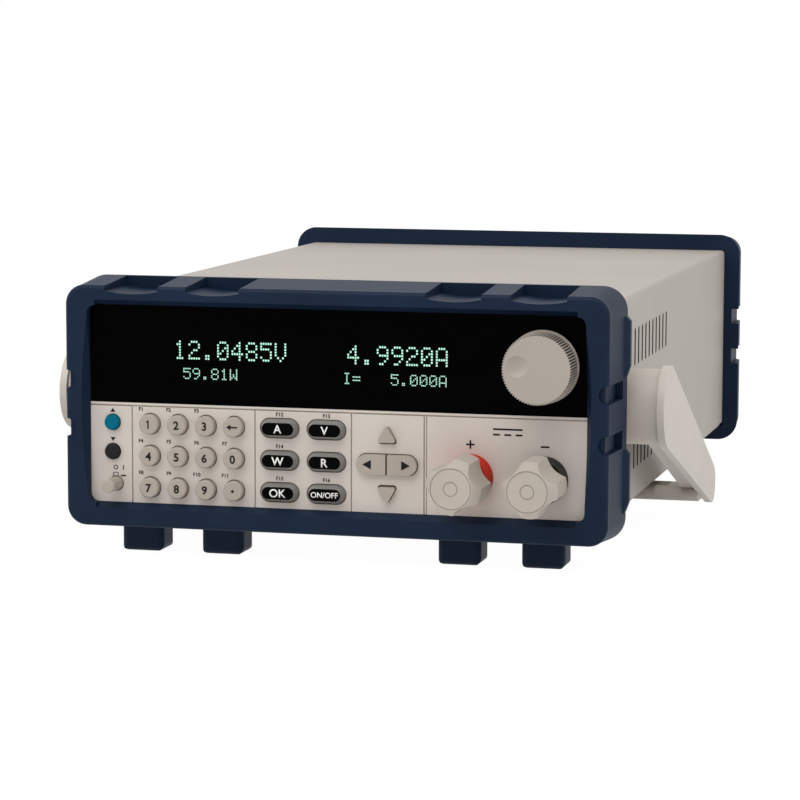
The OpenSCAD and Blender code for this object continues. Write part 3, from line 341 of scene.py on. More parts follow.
def add_ramp(nodes, links, value, low, high, start=0.3, end=0.7):
    """Two colours mixed by a value."""
    ramp = nodes.new("ShaderNodeValToRGB")
    ramp.color_ramp.elements[0].position = start
    ramp.color_ramp.elements[1].position = end
    ramp.color_ramp.elements[0].color = (*low, 1.0)
    ramp.color_ramp.elements[1].color = (*high, 1.0)
    links.new(value, ramp.inputs["Fac"])
    return ramp.outputs["Color"]


def shade(base, factor):
    """A colour made darker or lighter by a factor."""
    return tuple(min(channel * factor, 1.0) for channel in base)


def add_gloss(nodes, links, surface, value, low, high):
    """Roughness that a value moves between two limits."""
    gloss = nodes.new("ShaderNodeMapRange")
    gloss.inputs["To Min"].default_value = low
    gloss.inputs["To Max"].default_value = high
    links.new(value, gloss.inputs["Value"])
    links.new(gloss.outputs["Result"], surface.inputs["Roughness"])


def add_bump(nodes, links, surface, height, depth):
    """A bump of the given depth in millimetres on the surface."""
    bump = nodes.new("ShaderNodeBump")
    bump.inputs["Distance"].default_value = depth * MM
    bump.inputs["Strength"].default_value = 0.6
    links.new(height, bump.inputs["Height"])
    links.new(bump.outputs["Normal"], surface.inputs["Normal"])


def moulded(name, base, rough=0.5, grain=1600.0, depth=0.03, mottle=0.06, specular=0.4):
    """Moulded plastic or rubber: grain of a depth in millimetres, and slightly cloudy colour."""
    material, nodes, links, surface, where = new_finish(name)
    clouds = add_noise(nodes, links, where, scale=28.0)
    tint = add_ramp(nodes, links, clouds, shade(base, 1.0 - mottle), shade(base, 1.0 + mottle))
    links.new(tint, surface.inputs["Base Color"])
    fine = add_noise(nodes, links, where, scale=grain, detail=2.0)
    add_gloss(nodes, links, surface, fine, rough - 0.06, rough + 0.06)
    add_bump(nodes, links, surface, fine, depth)
    surface.inputs["Specular IOR Level"].default_value = specular
    return material


def textured_paint(name, base):
    """Powder paint: rounded pips about a millimetre apart on sheet metal."""
    material, nodes, links, surface, where = new_finish(name)
    clouds = add_noise(nodes, links, where, scale=14.0)
    tint = add_ramp(nodes, links, clouds, shade(base, 0.96), shade(base, 1.04))
    links.new(tint, surface.inputs["Base Color"])
    pips = nodes.new("ShaderNodeTexVoronoi")
    pips.inputs["Scale"].default_value = 900.0
    links.new(where, pips.inputs["Vector"])
    add_bump(nodes, links, surface, pips.outputs["Distance"], depth=0.05)
    surface.inputs["Roughness"].default_value = 0.52
    surface.inputs["Specular IOR Level"].default_value = 0.35
    return material


def turned_metal(name, base, rough=0.28, grain=(1.0, 1.0, 60.0)):
    """Turned or drawn metal with fine lines along one direction."""
    material, nodes, links, surface, where = new_finish(name)
    lines = add_noise(nodes, links, where, scale=260.0, detail=2.0, stretch=grain)
    tint = add_ramp(nodes, links, lines, shade(base, 0.86), shade(base, 1.1))
    links.new(tint, surface.inputs["Base Color"])
    add_bump(nodes, links, surface, lines, depth=0.01)
    surface.inputs["Metallic"].default_value = 1.0
    surface.inputs["Roughness"].default_value = rough
    return material


def tinted_window(name, base):
    """Glossy tinted plastic with faint wipe marks."""
    material, nodes, links, surface, where = new_finish(name)
    wipes = add_noise(nodes, links, where, scale=40.0, detail=4.0, stretch=(1.0, 1.0, 5.0))
    add_gloss(nodes, links, surface, wipes, 0.10, 0.20)
    tint = add_ramp(nodes, links, wipes, base, shade(base, 1.5))
    links.new(tint, surface.inputs["Base Color"])
    surface.inputs["Specular IOR Level"].default_value = 0.012
    return material


def ink_and_painted_shade(name, base, rough=0.45, specular=0.08):
    """Screen-printed ink with a little unevenness; also the painted shade of the vent slots and the
    screw recesses.
    """
    material, nodes, links, surface, where = new_finish(name)
    cover = add_noise(nodes, links, where, scale=1200.0)
    tint = add_ramp(nodes, links, cover, shade(base, 0.85), shade(base, 1.15))
    links.new(tint, surface.inputs["Base Color"])
    surface.inputs["Roughness"].default_value = rough
    surface.inputs["Specular IOR Level"].default_value = specular
    return material


def lit_phosphor(name, base):
    """Glowing dots, a little uneven as on a used vacuum display."""
    material, nodes, links, surface, where = new_finish(name)
    wear = add_noise(nodes, links, where, scale=160.0)
    glow = add_ramp(nodes, links, wear, shade(base, 0.8), base)
    links.new(glow, surface.inputs["Emission Color"])
    surface.inputs["Base Color"].default_value = (*shade(base, 0.2), 1.0)
    surface.inputs["Emission Strength"].default_value = 0.95
    return material


def green_board(name, track, mask):
    """Green mask over copper tracks."""
    material, nodes, links, surface, where = new_finish(name)
    tracks = nodes.new("ShaderNodeTexVoronoi")
    tracks.distance = "MANHATTAN"
    tracks.feature = "DISTANCE_TO_EDGE"
    tracks.inputs["Scale"].default_value = 160.0
    links.new(where, tracks.inputs["Vector"])
    tint = add_ramp(nodes, links, tracks.outputs["Distance"], track, mask, start=0.05, end=0.12)
    links.new(tint, surface.inputs["Base Color"])
    surface.inputs["Roughness"].default_value = 0.35
    return material


def paint(material, *names):
    """Gives CAD nodes their finish."""
    for name in names:
        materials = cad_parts[name].data.materials
        materials.clear()
        materials.append(material)


# Shapes on the panel


def face_of(node):
    """Middle of a node's front face, which looks along -Y."""
    low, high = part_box(node)
    return Vector(((low.x + high.x) / 2, low.y, (low.z + high.z) / 2))


def add_slab(bm, outline, place, thickness):
    """A thin plate from an outline in X and Z, on a surface that looks along -Y."""
    front = [bm.verts.new((place.x + x, place.y - thickness, place.z + z)) for x, z in outline]
    back = [bm.verts.new((place.x + x, place.y, place.z + z)) for x, z in outline]
    bm.faces.new(front)
    bm.faces.new(list(reversed(back)))
    for i in range(len(outline)):
        j = (i + 1) % len(outline)
        bm.faces.new((front[j], front[i], back[i], back[j]))


def arc(radius, start, end, steps, centre=(0.0, 0.0)):
    """Points on an arc, angles in degrees."""
    points = []
    for i in range(steps + 1):
        angle = math.radians(start + (end - start) * i / steps)
        points.append((centre[0] + radius * math.cos(angle), centre[1] + radius * math.sin(angle)))
    return points


def stadium(width, height, steps=14):
    """Outline with round ends."""
    radius = height / 2
    run = width / 2 - radius
    return arc(radius, -90, 90, steps, (run, 0.0)) + arc(radius, 90, 270, steps, (-run, 0.0))


def bar(width, height):
    """Outline of a straight bar."""
    x, z = width / 2, height / 2
    return [(-x, -z), (x, -z), (x, z), (-x, z)]


def triangle(base, rise, turn):
    """Outline of a triangle about its middle, pointing along an angle in degrees."""
    angle = math.radians(turn)
    points = [(rise / 2, 0.0), (-rise / 2, base / 2), (-rise / 2, -base / 2)]
    cos, sin = math.cos(angle), math.sin(angle)
    return [(x * cos - z * sin, x * sin + z * cos) for x, z in points]


def figure_one(height):
    """Outline of a figure one: a stem with a flag to the left."""
    foot, stem, flag = height / 2, 0.085 * height, 0.26 * height
    return [
        (-stem, -foot), (stem, -foot), (stem, foot), (-0.3 * stem, foot),
        (-flag, 0.66 * foot), (-flag, 0.36 * foot), (-stem, 0.58 * foot),
    ]


def add_ring(bm, outer, inner, place, thickness, steps=24):
    """A flat ring on a surface that looks along -Y."""
    loops = []
    for radius, depth in ((outer, -thickness), (inner, -thickness), (inner, 0.0), (outer, 0.0)):
        circle = arc(radius, 0, 360, steps)[:-1]
        loops.append([bm.verts.new((place.x + x, place.y + depth, place.z + z)) for x, z in circle])
    for a, b in zip(loops, loops[1:] + loops[:1]):
        for i in range(steps):
            j = (i + 1) % steps
            bm.faces.new((a[i], a[j], b[j], b[i]))


def add_letters(bm, text, height, place, thickness, weight):
    """Plain letters of a given height and boldness on a surface that looks along -Y."""
    curve = bpy.data.curves.new("letters", "FONT")
    curve.body = text
    curve.offset = weight
    curve.resolution_u = LETTER_STEPS
    source = bpy.data.objects.new("letters", curve)
    bpy.context.scene.collection.objects.link(source)
    graph = bpy.context.evaluated_depsgraph_get()
    flat = bpy.data.meshes.new_from_object(source.evaluated_get(graph))
    bpy.data.objects.remove(source)
    bpy.data.curves.remove(curve)
    xs = [v.co.x for v in flat.vertices]
    ys = [v.co.y for v in flat.vertices]
    scale = height / (max(ys) - min(ys))
    shift_x = (max(xs) + min(xs)) / 2
    shift_y = (max(ys) + min(ys)) / 2
    piece = bmesh.new()
    piece.from_mesh(flat)
    bpy.data.meshes.remove(flat)
    bmesh.ops.remove_doubles(piece, verts=piece.verts, dist=WELD)
    made = bmesh.ops.extrude_face_region(piece, geom=list(piece.faces))
    lifted = [item for item in made["geom"] if isinstance(item, bmesh.types.BMVert)]
    bmesh.ops.translate(piece, verts=lifted, vec=(0.0, 0.0, thickness / scale))
    for vert in piece.verts:
        x, y, z = vert.co
        vert.co = (
            place.x + (x - shift_x) * scale, place.y - z * scale, place.z + (y - shift_y) * scale
        )
    bmesh.ops.recalc_face_normals(piece, faces=piece.faces)
    mesh = bpy.data.meshes.new("letters")
    piece.to_mesh(mesh)
    piece.free()
    before = len(bm.faces)
    bm.from_mesh(mesh)
    bpy.data.meshes.remove(mesh)
    bm.faces.ensure_lookup_table()
    return bm.faces[before:]


def finish_piece(bm, name, materials, body):
    """A mesh object that rides on a body, with its finishes."""
    bmesh.ops.recalc_face_normals(bm, faces=bm.faces)
    mesh = bpy.data.meshes.new(name)
    bm.to_mesh(mesh)
    bm.free()
    for material in materials:
        mesh.materials.append(material)
    piece = bpy.data.objects.new(name, mesh)
    bpy.context.scene.collection.objects.link(piece)
    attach(piece, body)
    return piece


def use_material(faces, index):
    for face in faces:
        face.material_index = index


# Geometry Nodes


def add_socket(tree, name, kind, default=None):
    """A named input of a node tree, returned by its identifier."""
    socket = tree.interface.new_socket(name, in_out="INPUT", socket_type=kind)
    if default is not None:
        socket.default_value = default
    return socket.identifier


def scatter_tree(name, make_shape):
    """A tree that puts one shape on every vertex of a mesh, made real and given its material."""
    tree = bpy.data.node_groups.new(name, "GeometryNodeTree")
    inputs = {"points": add_socket(tree, "Points", "NodeSocketGeometry")}
    for label in ("Width", "Height", "Depth"):
        inputs[label] = add_socket(tree, label, "NodeSocketFloat", MM)
    inputs["Finish"] = add_socket(tree, "Finish", "NodeSocketMaterial")
    tree.interface.new_socket("Pieces", in_out="OUTPUT", socket_type="NodeSocketGeometry")
    nodes = tree.nodes
    entry = nodes.new("NodeGroupInput")
    leave = nodes.new("NodeGroupOutput")
    spread = nodes.new("GeometryNodeInstanceOnPoints")
    real = nodes.new("GeometryNodeRealizeInstances")
    finish = nodes.new("GeometryNodeSetMaterial")
    tree.links.new(entry.outputs["Points"], spread.inputs["Points"])
    tree.links.new(make_shape(tree, entry), spread.inputs["Instance"])
    tree.links.new(spread.outputs["Instances"], real.inputs["Geometry"])
    tree.links.new(real.outputs["Geometry"], finish.inputs["Geometry"])
    tree.links.new(entry.outputs["Finish"], finish.inputs["Material"])
    tree.links.new(finish.outputs["Geometry"], leave.inputs["Pieces"])
    return tree, inputs


def box_shape(tree, entry, order=("Width", "Depth", "Height")):
    """A box whose sides come from the tree's inputs."""
    size = tree.nodes.new("ShaderNodeCombineXYZ")
    for axis, label in zip("XYZ", order):
        tree.links.new(entry.outputs[label], size.inputs[axis])
    cube = tree.nodes.new("GeometryNodeMeshCube")
    tree.links.new(size.outputs["Vector"], cube.inputs["Size"])
    return cube.outputs["Mesh"]


def cross_shape(tree, entry):
    """Two crossing boxes, the dark mark of painted shade that stands in for a screw's recess."""
    joined = tree.nodes.new("GeometryNodeJoinGeometry")
    for order in (("Width", "Depth", "Height"), ("Height", "Depth", "Width")):
        tree.links.new(box_shape(tree, entry, order), joined.inputs["Geometry"])
    return joined.outputs["Geometry"]


def scatter(tree, inputs, points, name, values, material, body):
    """Puts the tree's shape on points and turns the result into a plain mesh piece."""
    seed = bpy.data.meshes.new(name + "_points")
    seed.from_pydata([tuple(point) for point in points], [], [])
    holder = bpy.data.objects.new(name + "_holder", seed)
    bpy.context.scene.collection.objects.link(holder)
    modifier = holder.modifiers.new("Scatter", "NODES")
    modifier.node_group = tree
    for label, value in values.items():
        modifier[inputs[label]] = value
    modifier[inputs["Finish"]] = material
    graph = bpy.context.evaluated_depsgraph_get()
    mesh = bpy.data.meshes.new_from_object(holder.evaluated_get(graph))
    mesh.name = name
    bpy.data.objects.remove(holder)
    if not mesh.polygons:
        raise RuntimeError(f"{name} came out empty")
    piece = bpy.data.objects.new(name, mesh)
    bpy.context.scene.collection.objects.link(piece)
    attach(piece, body)
    return piece


class LOAD_OT_bumpers(bpy.types.Operator):
    """Gives both bumpers their moulded rubber"""

    bl_idname = "load.bumpers"
    bl_label = "Bumpers"

    def execute(self, context):
        rubber = moulded(
            "bumper_rubber", colours().bumper, grain=1300.0, depth=0.035, mottle=0.12, specular=0.11
        )
        paint(rubber, "front_bumper", "rear_bumper")
        return {"FINISHED"}


class LOAD_OT_case(bpy.types.Operator):
    """Paints the sheet metal case and the rear panel"""

    bl_idname = "load.case"
    bl_label = "Case"

    def execute(self, context):
        coat = textured_paint("case_paint", colours().case)
        paint(coat, "top_cover", "rear_panel", "chassis_tray")
        self.shade_vents(sizes().sheet)
        return {"FINISHED"}

    def shade_vents(self, sheet):
        """Paints shade on the punched walls of the side vents: a dark colour that stands in for the
        shadow in the slots.
        """
        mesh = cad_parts["top_cover"].data
        # Painted shade on the slot walls, picked by their depth within the sheet
        mesh.materials.append(ink_and_painted_shade("vent_painted_shade", colours().vent_painted_shade, rough=0.7))
        half = max(abs(vert.co.x) for vert in mesh.vertices)
        for face in mesh.polygons:
            depth = half - abs(face.center.x)
            within_sheet = 0.1 * sheet < depth < 0.9 * sheet
            if within_sheet and abs(face.normal.y) > 0.3:
                face.material_index = 1


class LOAD_OT_panel(bpy.types.Operator):
    """Gives the front panel, the display window and the display their finishes"""

    bl_idname = "load.panel"
    bl_label = "Front panel"

    def execute(self, context):
        tint = colours()
        plastic = moulded("panel_plastic", tint.panel, grain=2200.0, depth=0.012, mottle=0.03)
        paint(plastic, "front_panel")
        paint(tinted_window("window_tint", tint.window), "display_window")
        glass = moulded("display_glass", tint.glass, rough=0.2, grain=900.0, depth=0.002)
        paint(glass, "display_module")
        return {"FINISHED"}


class LOAD_OT_keys(bpy.types.Operator):
    """Gives the keys and the power button their plastics"""

    bl_idname = "load.keys"
    bl_label = "Keys"

    def execute(self, context):
        tint = colours()
        beige = moulded("key_beige", tint.key, grain=2400.0, depth=0.015, mottle=0.04)
        paint(beige, *NUMBER_LABELS, "key_escape", "key_point", *ARROW_KEYS, "power_button")
        fine = {"grain": 2400.0, "depth": 0.012}
        paint(moulded("key_grey", tint.function, rough=0.42, **fine), *FUNCTION_LABELS)
        paint(moulded("key_teal", tint.shift, rough=0.4, specular=0.04, **fine), "key_shift")
        paint(moulded("key_dark", tint.local, rough=0.4, specular=0.15, **fine), "key_local")
        return {"FINISHED"}


class LOAD_OT_key_marks(bpy.types.Operator):
    """Prints the figures and signs on the keys, and inlays the function keys"""

    bl_idname = "load.key_marks"
    bl_label = "Key marks"

    def execute(self, context):
        size = marks()
        dark = ink_and_painted_shade("key_ink", colours().ink)
        light = ink_and_painted_shade("light_ink", colours().light_ink)
        inlay = ink_and_painted_shade("inlay_black", colours().inlay, rough=0.5, specular=0.02)
        for key, label in NUMBER_LABELS.items():
            self.mark_number(size, key, label, dark)
        self.mark_point(size, dark)
        self.mark_escape(size, dark)
        for key, label in FUNCTION_LABELS.items():
            self.mark_function(size, key, label, inlay, light)
        for key, turn, side in (("key_left", 180.0, -1), ("key_right", 0.0, 1)):
            bm = bmesh.new()
            place = face_of(key) + Vector((side * size.arrow_shift, 0, 0))
            add_slab(bm, triangle(size.arrow_base, size.arrow_rise, turn), place, size.ink)
            finish_piece(bm, key + "_mark", [dark], key)
        return {"FINISHED"}

    def mark_number(self, size, key, label, dark):
        """A figure in the middle of a number key."""
        bm = bmesh.new()
        if label == "1":
            add_slab(bm, figure_one(size.number_cap), face_of(key), size.ink)
        else:
            add_letters(bm, label, size.number_cap, face_of(key), size.ink, NUMBER_WEIGHT)
        finish_piece(bm, key + "_mark", [dark], key)

    def mark_point(self, size, dark):
        """The decimal point, a small lozenge."""
        bm = bmesh.new()
        lozenge = arc(size.point, 0, 360, 4)[:-1]
        add_slab(bm, lozenge, face_of("key_point"), size.ink)
        finish_piece(bm, "key_point_mark", [dark], "key_point")

    def mark_escape(self, size, dark):
        """A left-pointing return arrow."""
        bm = bmesh.new()
        place = face_of("key_escape")
        shaft = place + Vector((size.shaft_shift, 0, 0))
        head = place - Vector((size.head_shift, 0, 0))
        add_slab(bm, bar(size.shaft_long, size.shaft_wide), shaft, size.ink)
        add_slab(bm, triangle(size.head_base, size.head_rise, 180.0), head, size.ink)
        finish_piece(bm, "key_escape_mark", [dark], "key_escape")

    def mark_function(self, size, key, label, inlay, light):
        """A dark inlay on a function key's face, with a pale mark."""
        low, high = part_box(key)
        border = 2 * (sizes().key_slope + size.inlay_edge)
        place = face_of(key)
        bm = bmesh.new()
        add_slab(bm, stadium(high.x - low.x - border, high.z - low.z - border), place, size.inlay)
        top = place - Vector((0, size.inlay, 0))
        cap = size.function_cap * (LONG_MARK if len(label) > 2 else 1.0)
        use_material(add_letters(bm, label, cap, top, size.ink, FUNCTION_WEIGHT), 1)
        finish_piece(bm, key + "_mark", [inlay, light], key)


class LOAD_OT_panel_marks(bpy.types.Operator):
    """Prints the small marks above the keys and the signs above the terminals"""

    bl_idname = "load.panel_marks"
    bl_label = "Panel marks"

    def execute(self, context):
        size = marks()
        ink = ink_and_painted_shade("panel_ink", colours().second_ink)
        bm = bmesh.new()
        panel_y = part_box("front_panel")[0].y
        for i, key in enumerate(SHIFTED_KEYS):
            place = self.above(key, panel_y, size.second_lift)
            if key in NUMBER_LABELS or key == "key_point":
                place.x -= size.second_shift
            add_letters(bm, f"F{i + 1}", size.second_cap, place, size.ink, SECOND_WEIGHT)
        for key, turn in (("key_shift", 90.0), ("key_local", -90.0)):
            place = self.above(key, panel_y, size.pointer_lift)
            add_slab(bm, triangle(size.pointer_base, size.pointer_rise, turn), place, size.ink)
        self.add_power_signs(bm, panel_y, size)
        self.add_terminal_signs(bm, panel_y, size)
        finish_piece(bm, "panel_marks", [ink], "case")
        return {"FINISHED"}

    def above(self, key, panel_y, lift):
        """A place on the panel over the middle of a key."""
        low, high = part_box(key)
        return Vector(((low.x + high.x) / 2, panel_y, high.z + lift))

    def add_power_signs(self, bm, panel_y, size):
        """Ring for off and bar for on, with the button's two places below them."""
        middle = self.above("power_button", panel_y, size.power_lift)
        off = middle - Vector((size.off_shift, 0, 0))
        on = middle + Vector((size.on_shift, 0, 0))
        drop = Vector((0, 0, size.power_drop))
        add_ring(bm, size.ring_outer, size.ring_inner, off, size.ink)
        add_slab(bm, bar(size.on_wide, size.on_tall), on, size.ink)
        for side in (-1, 1):
            post = off - drop + Vector((side * size.frame_wide / 2, 0, 0))
            rail = off - drop + Vector((0, 0, side * size.frame_tall / 2))
            add_slab(bm, bar(size.frame_stroke, size.frame_tall), post, size.ink)
            add_slab(bm, bar(size.frame_wide, size.frame_stroke), rail, size.ink)
        pressed = on - drop - Vector((0, 0, size.dash_drop))
        add_slab(bm, bar(size.dash_wide, size.dash_tall), pressed, size.ink)

    def add_terminal_signs(self, bm, panel_y, size):
        """Plus, minus and the sign for direct current."""
        cap, stroke = size.sign_cap, size.sign_stroke
        plus, minus = face_of("post_base_plus"), face_of("post_base_minus")
        plus = Vector((plus.x, panel_y, plus.z + size.sign_lift))
        minus = Vector((minus.x, panel_y, minus.z + size.sign_lift))
        add_slab(bm, bar(cap, stroke), plus, size.ink)
        add_slab(bm, bar(cap, stroke), minus, size.ink)
        for side in (-1, 1):
            arm = plus + Vector((0, 0, side * (cap + stroke) / 4))
            add_slab(bm, bar(stroke, (cap - stroke) / 2), arm, size.ink)
        middle = (plus + minus) / 2 + Vector((0, 0, size.direct_lift))
        line = middle + Vector((0, 0, size.direct_gap))
        add_slab(bm, bar(size.direct_wide, stroke), line, size.ink)
        for step in (-1, 0, 1):
            stripe = middle + Vector((step * size.stripe_pitch, 0, -size.direct_gap))
            add_slab(bm, bar(size.stripe_wide, stroke), stripe, size.ink)


class LOAD_OT_display(bpy.types.Operator):
    """Lights the display's dots"""

    bl_idname = "load.display"
    bl_label = "Display"

    def execute(self, context):
        size = sizes()
        tree, inputs = scatter_tree("display_dots", box_shape)
        glow = lit_phosphor("phosphor", colours().dots)
        window_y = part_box("display_window")[0].y
        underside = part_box("chassis_tray")[0].z
        big = (size.big_dot_x, size.big_dot_z)
        small = (size.small_dot_x, size.small_dot_z)
        readings = (
            ("reading_volts", "12.0485V", size.volts_left, size.upper_foot, big),
            ("reading_amps", "4.9920A", size.amps_left, size.upper_foot, big),
            ("reading_watts", " 59.81W", size.watts_left, size.lower_foot, small),
            ("reading_set", "I=   5.000A", size.set_left, size.lower_foot, small),
        )
        for name, text, left, foot, (step_x, step_z) in readings:
            origin = Vector((left, window_y, foot + underside))
            points = self.dot_places(text, origin, step_x, step_z)
            lit_x, lit_z = step_x * DOT_FILL, step_z * DOT_FILL
            values = {"Width": lit_x, "Height": lit_z, "Depth": size.dot_depth}
            scatter(tree, inputs, points, name, values, glow, "case")
        return {"FINISHED"}

    def dot_places(self, text, origin, step_x, step_z):
        """The middle of every lit dot of a line of characters."""
        places = []
        for i, letter in enumerate(text):
            for row, line in enumerate(reversed(DOT_GLYPHS[letter])):
                for column, dot in enumerate(line):
                    if dot == "1":
                        x = origin.x + (i * DOT_COLUMNS + column + 0.5) * step_x
                        places.append((x, origin.y, origin.z + (row + 0.5) * step_z))
        return places


class LOAD_OT_knob(bpy.types.Operator):
    """Gives the control knob its finishes"""

    bl_idname = "load.knob"
    bl_label = "Control knob"

    def execute(self, context):
        plastic = moulded(
            "knob_plastic", colours().knob, rough=KNOB_ROUGH, grain=1800.0, depth=0.02, mottle=0.04
        )
        paint(plastic, "encoder_knob")
        self.shade_ribs(sizes(), face_of("encoder_knob"))
        return {"FINISHED"}

    def shade_ribs(self, size, axis):
        """Paints shade and highlight on the ribs' flanks: darker towards their feet, lighter towards
        their crests.
        """
        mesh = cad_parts["encoder_knob"].data
        mesh.materials.append(self.painted_rib_light(size, axis))
        foot = size.rib_crest - 1.1 * size.rib_depth
        top = size.rib_crest + 0.1 * size.rib_depth
        reach = [(vert.co.xz - axis.xz).length for vert in mesh.vertices]
        for face in mesh.polygons:
            flank = abs(face.normal.y) < 0.5
            if flank and all(foot < reach[i] < top for i in face.vertices):
                face.material_index = 1

    def painted_rib_light(self, size, axis):
        """Knob plastic with painted shade in the valleys and a painted highlight on the crests, by
        the distance from the knob's axis.
        """
        material, nodes, links, surface, where = new_finish("knob_painted_rib_light")
        centred = nodes.new("ShaderNodeMapping")
        centred.inputs["Location"].default_value = (-axis.x, 0.0, -axis.z)
        centred.inputs["Scale"].default_value = (1.0, 0.0, 1.0)
        links.new(where, centred.inputs["Vector"])
        reach = nodes.new("ShaderNodeVectorMath")
        reach.operation = "LENGTH"
        links.new(centred.outputs["Vector"], reach.inputs[0])
        rise = nodes.new("ShaderNodeMapRange")
        rise.inputs["From Min"].default_value = size.rib_crest - size.rib_depth
        rise.inputs["From Max"].default_value = size.rib_crest
        links.new(reach.outputs["Value"], rise.inputs["Value"])
        base = colours().knob
        # Painted shade in the rib valleys and a painted highlight on the rib crests
        valley, crest = shade(base, 0.1), shade(base, 1.6)
        tint = add_ramp(nodes, links, rise.outputs["Result"], valley, crest, start=0.4, end=0.95)
        links.new(tint, surface.inputs["Base Color"])
        surface.inputs["Roughness"].default_value = KNOB_ROUGH
        return material


class LOAD_OT_terminals(bpy.types.Operator):
    """Gives the terminals' bases, washers, studs and caps their finishes"""

    bl_idname = "load.terminals"
    bl_label = "Terminals"

    def execute(self, context):
        tint = colours()
        glossy = {"grain": 900.0, "depth": 0.01}
        paint(moulded("post_red", tint.red, rough=0.4, specular=0.03, **glossy), "post_base_plus")
        black = moulded("post_black", tint.black, rough=0.35, specular=0.06, **glossy)
        paint(black, "post_base_minus")
        caps = moulded("cap_plastic", tint.cap, grain=1500.0, mottle=0.05)
        paint(caps, "post_cap_plus", "post_cap_minus")
        paint(turned_metal("stud_brass", tint.brass), "post_studs")
        plate = turned_metal("washer_plate", tint.plate, rough=0.24)
        paint(plate, "clamp_washer_plus", "clamp_washer_minus")
        return {"FINISHED"}


class LOAD_OT_handle(bpy.types.Operator):
    """Gives the carry handle and its hubs their plastic"""

    bl_idname = "load.handle"
    bl_label = "Carry handle"

    def execute(self, context):
        grip = moulded(
            "handle_plastic", colours().handle, rough=0.48, grain=1500.0, depth=0.025, mottle=0.04
        )
        paint(grip, "handle_arm_left", "handle_arm_right", "handle_bar", "handle_pivots")
        return {"FINISHED"}


class LOAD_OT_rear(bpy.types.Operator):
    """Gives the rear fittings their finishes, and the screws dark crosses of painted shade for their
    recesses
    """

    bl_idname = "load.rear"
    bl_label = "Rear fittings"

    def execute(self, context):
        tint, size = colours(), sizes()
        black = moulded("black_plastic", tint.black_plastic, rough=0.45, grain=1400.0, depth=0.02)
        paint(black, "fan_frame", "fan_rotor", "mains_inlet")
        paint(black, "encoder_body", "power_switch", "power_transistors")
        grey = moulded("socket_grey", tint.socket, rough=0.4, grain=1400.0, depth=0.015)
        paint(grey, "rear_sockets")
        bright = turned_metal("bright_steel", tint.steel, rough=0.25)
        paint(bright, "fan_guard", "case_screws", "encoder_shaft")
        # Painted shade: a dark cross on each screw head in place of its shaded recess
        recess = ink_and_painted_shade("recess_shade", tint.recess, rough=0.6)
        tree, inputs = scatter_tree("screw_recess", cross_shape)
        points = self.screw_places(size.screw_span)
        values = {"Width": size.recess_long, "Height": size.recess_wide, "Depth": size.recess_depth}
        scatter(tree, inputs, points, "screw_recesses", values, recess, "case")
        return {"FINISHED"}

    def screw_places(self, span):
        """The middle of each screw head's outer face."""
        heads = {}
        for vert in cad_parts["case_screws"].data.vertices:
            key = min(heads, key=lambda at: (Vector(at) - vert.co.xz).length, default=None)
            if key is None or (Vector(key) - vert.co.xz).length > span:
                key = tuple(vert.co.xz)
                heads[key] = []
            heads[key].append(vert.co.copy())
        places = []
        for points in heads.values():
            xs = [p.x for p in points]
            zs = [p.z for p in points]
            middle = ((min(xs) + max(xs)) / 2, max(p.y for p in points), (min(zs) + max(zs)) / 2)
            places.append(middle)
        return places


class LOAD_OT_inside(bpy.types.Operator):
    """Gives what is inside the case its finishes"""

    bl_idname = "load.inside"
    bl_label = "Inside"

    def execute(self, context):
        tint = colours()
        paint(green_board("board_green", tint.track, tint.mask), "front_board", "main_board")
        fins = turned_metal("fin_aluminium", tint.aluminium, rough=0.35, grain=(1.0, 60.0, 1.0))
        paint(fins, "heatsink")
        paint(moulded("core_varnish", tint.varnish, grain=700.0, depth=0.04), "mains_transformer")
        paint(moulded("mat_rubber", tint.mat, rough=0.7, grain=900.0, depth=0.02), "key_mat")
        return {"FINISHED"}


def seen_directly(nodes, links):
    """One for rays from the camera and for reflections and see-through rays, else nought."""
    path = nodes.new("ShaderNodeLightPath")
    total = path.outputs["Is Camera Ray"]
    for ray in ("Is Glossy Ray", "Is Transmission Ray"):
        larger = nodes.new("ShaderNodeMath")
        larger.operation = "MAXIMUM"
        links.new(total, larger.inputs[0])
        links.new(path.outputs[ray], larger.inputs[1])
        total = larger.outputs["Value"]
    return total


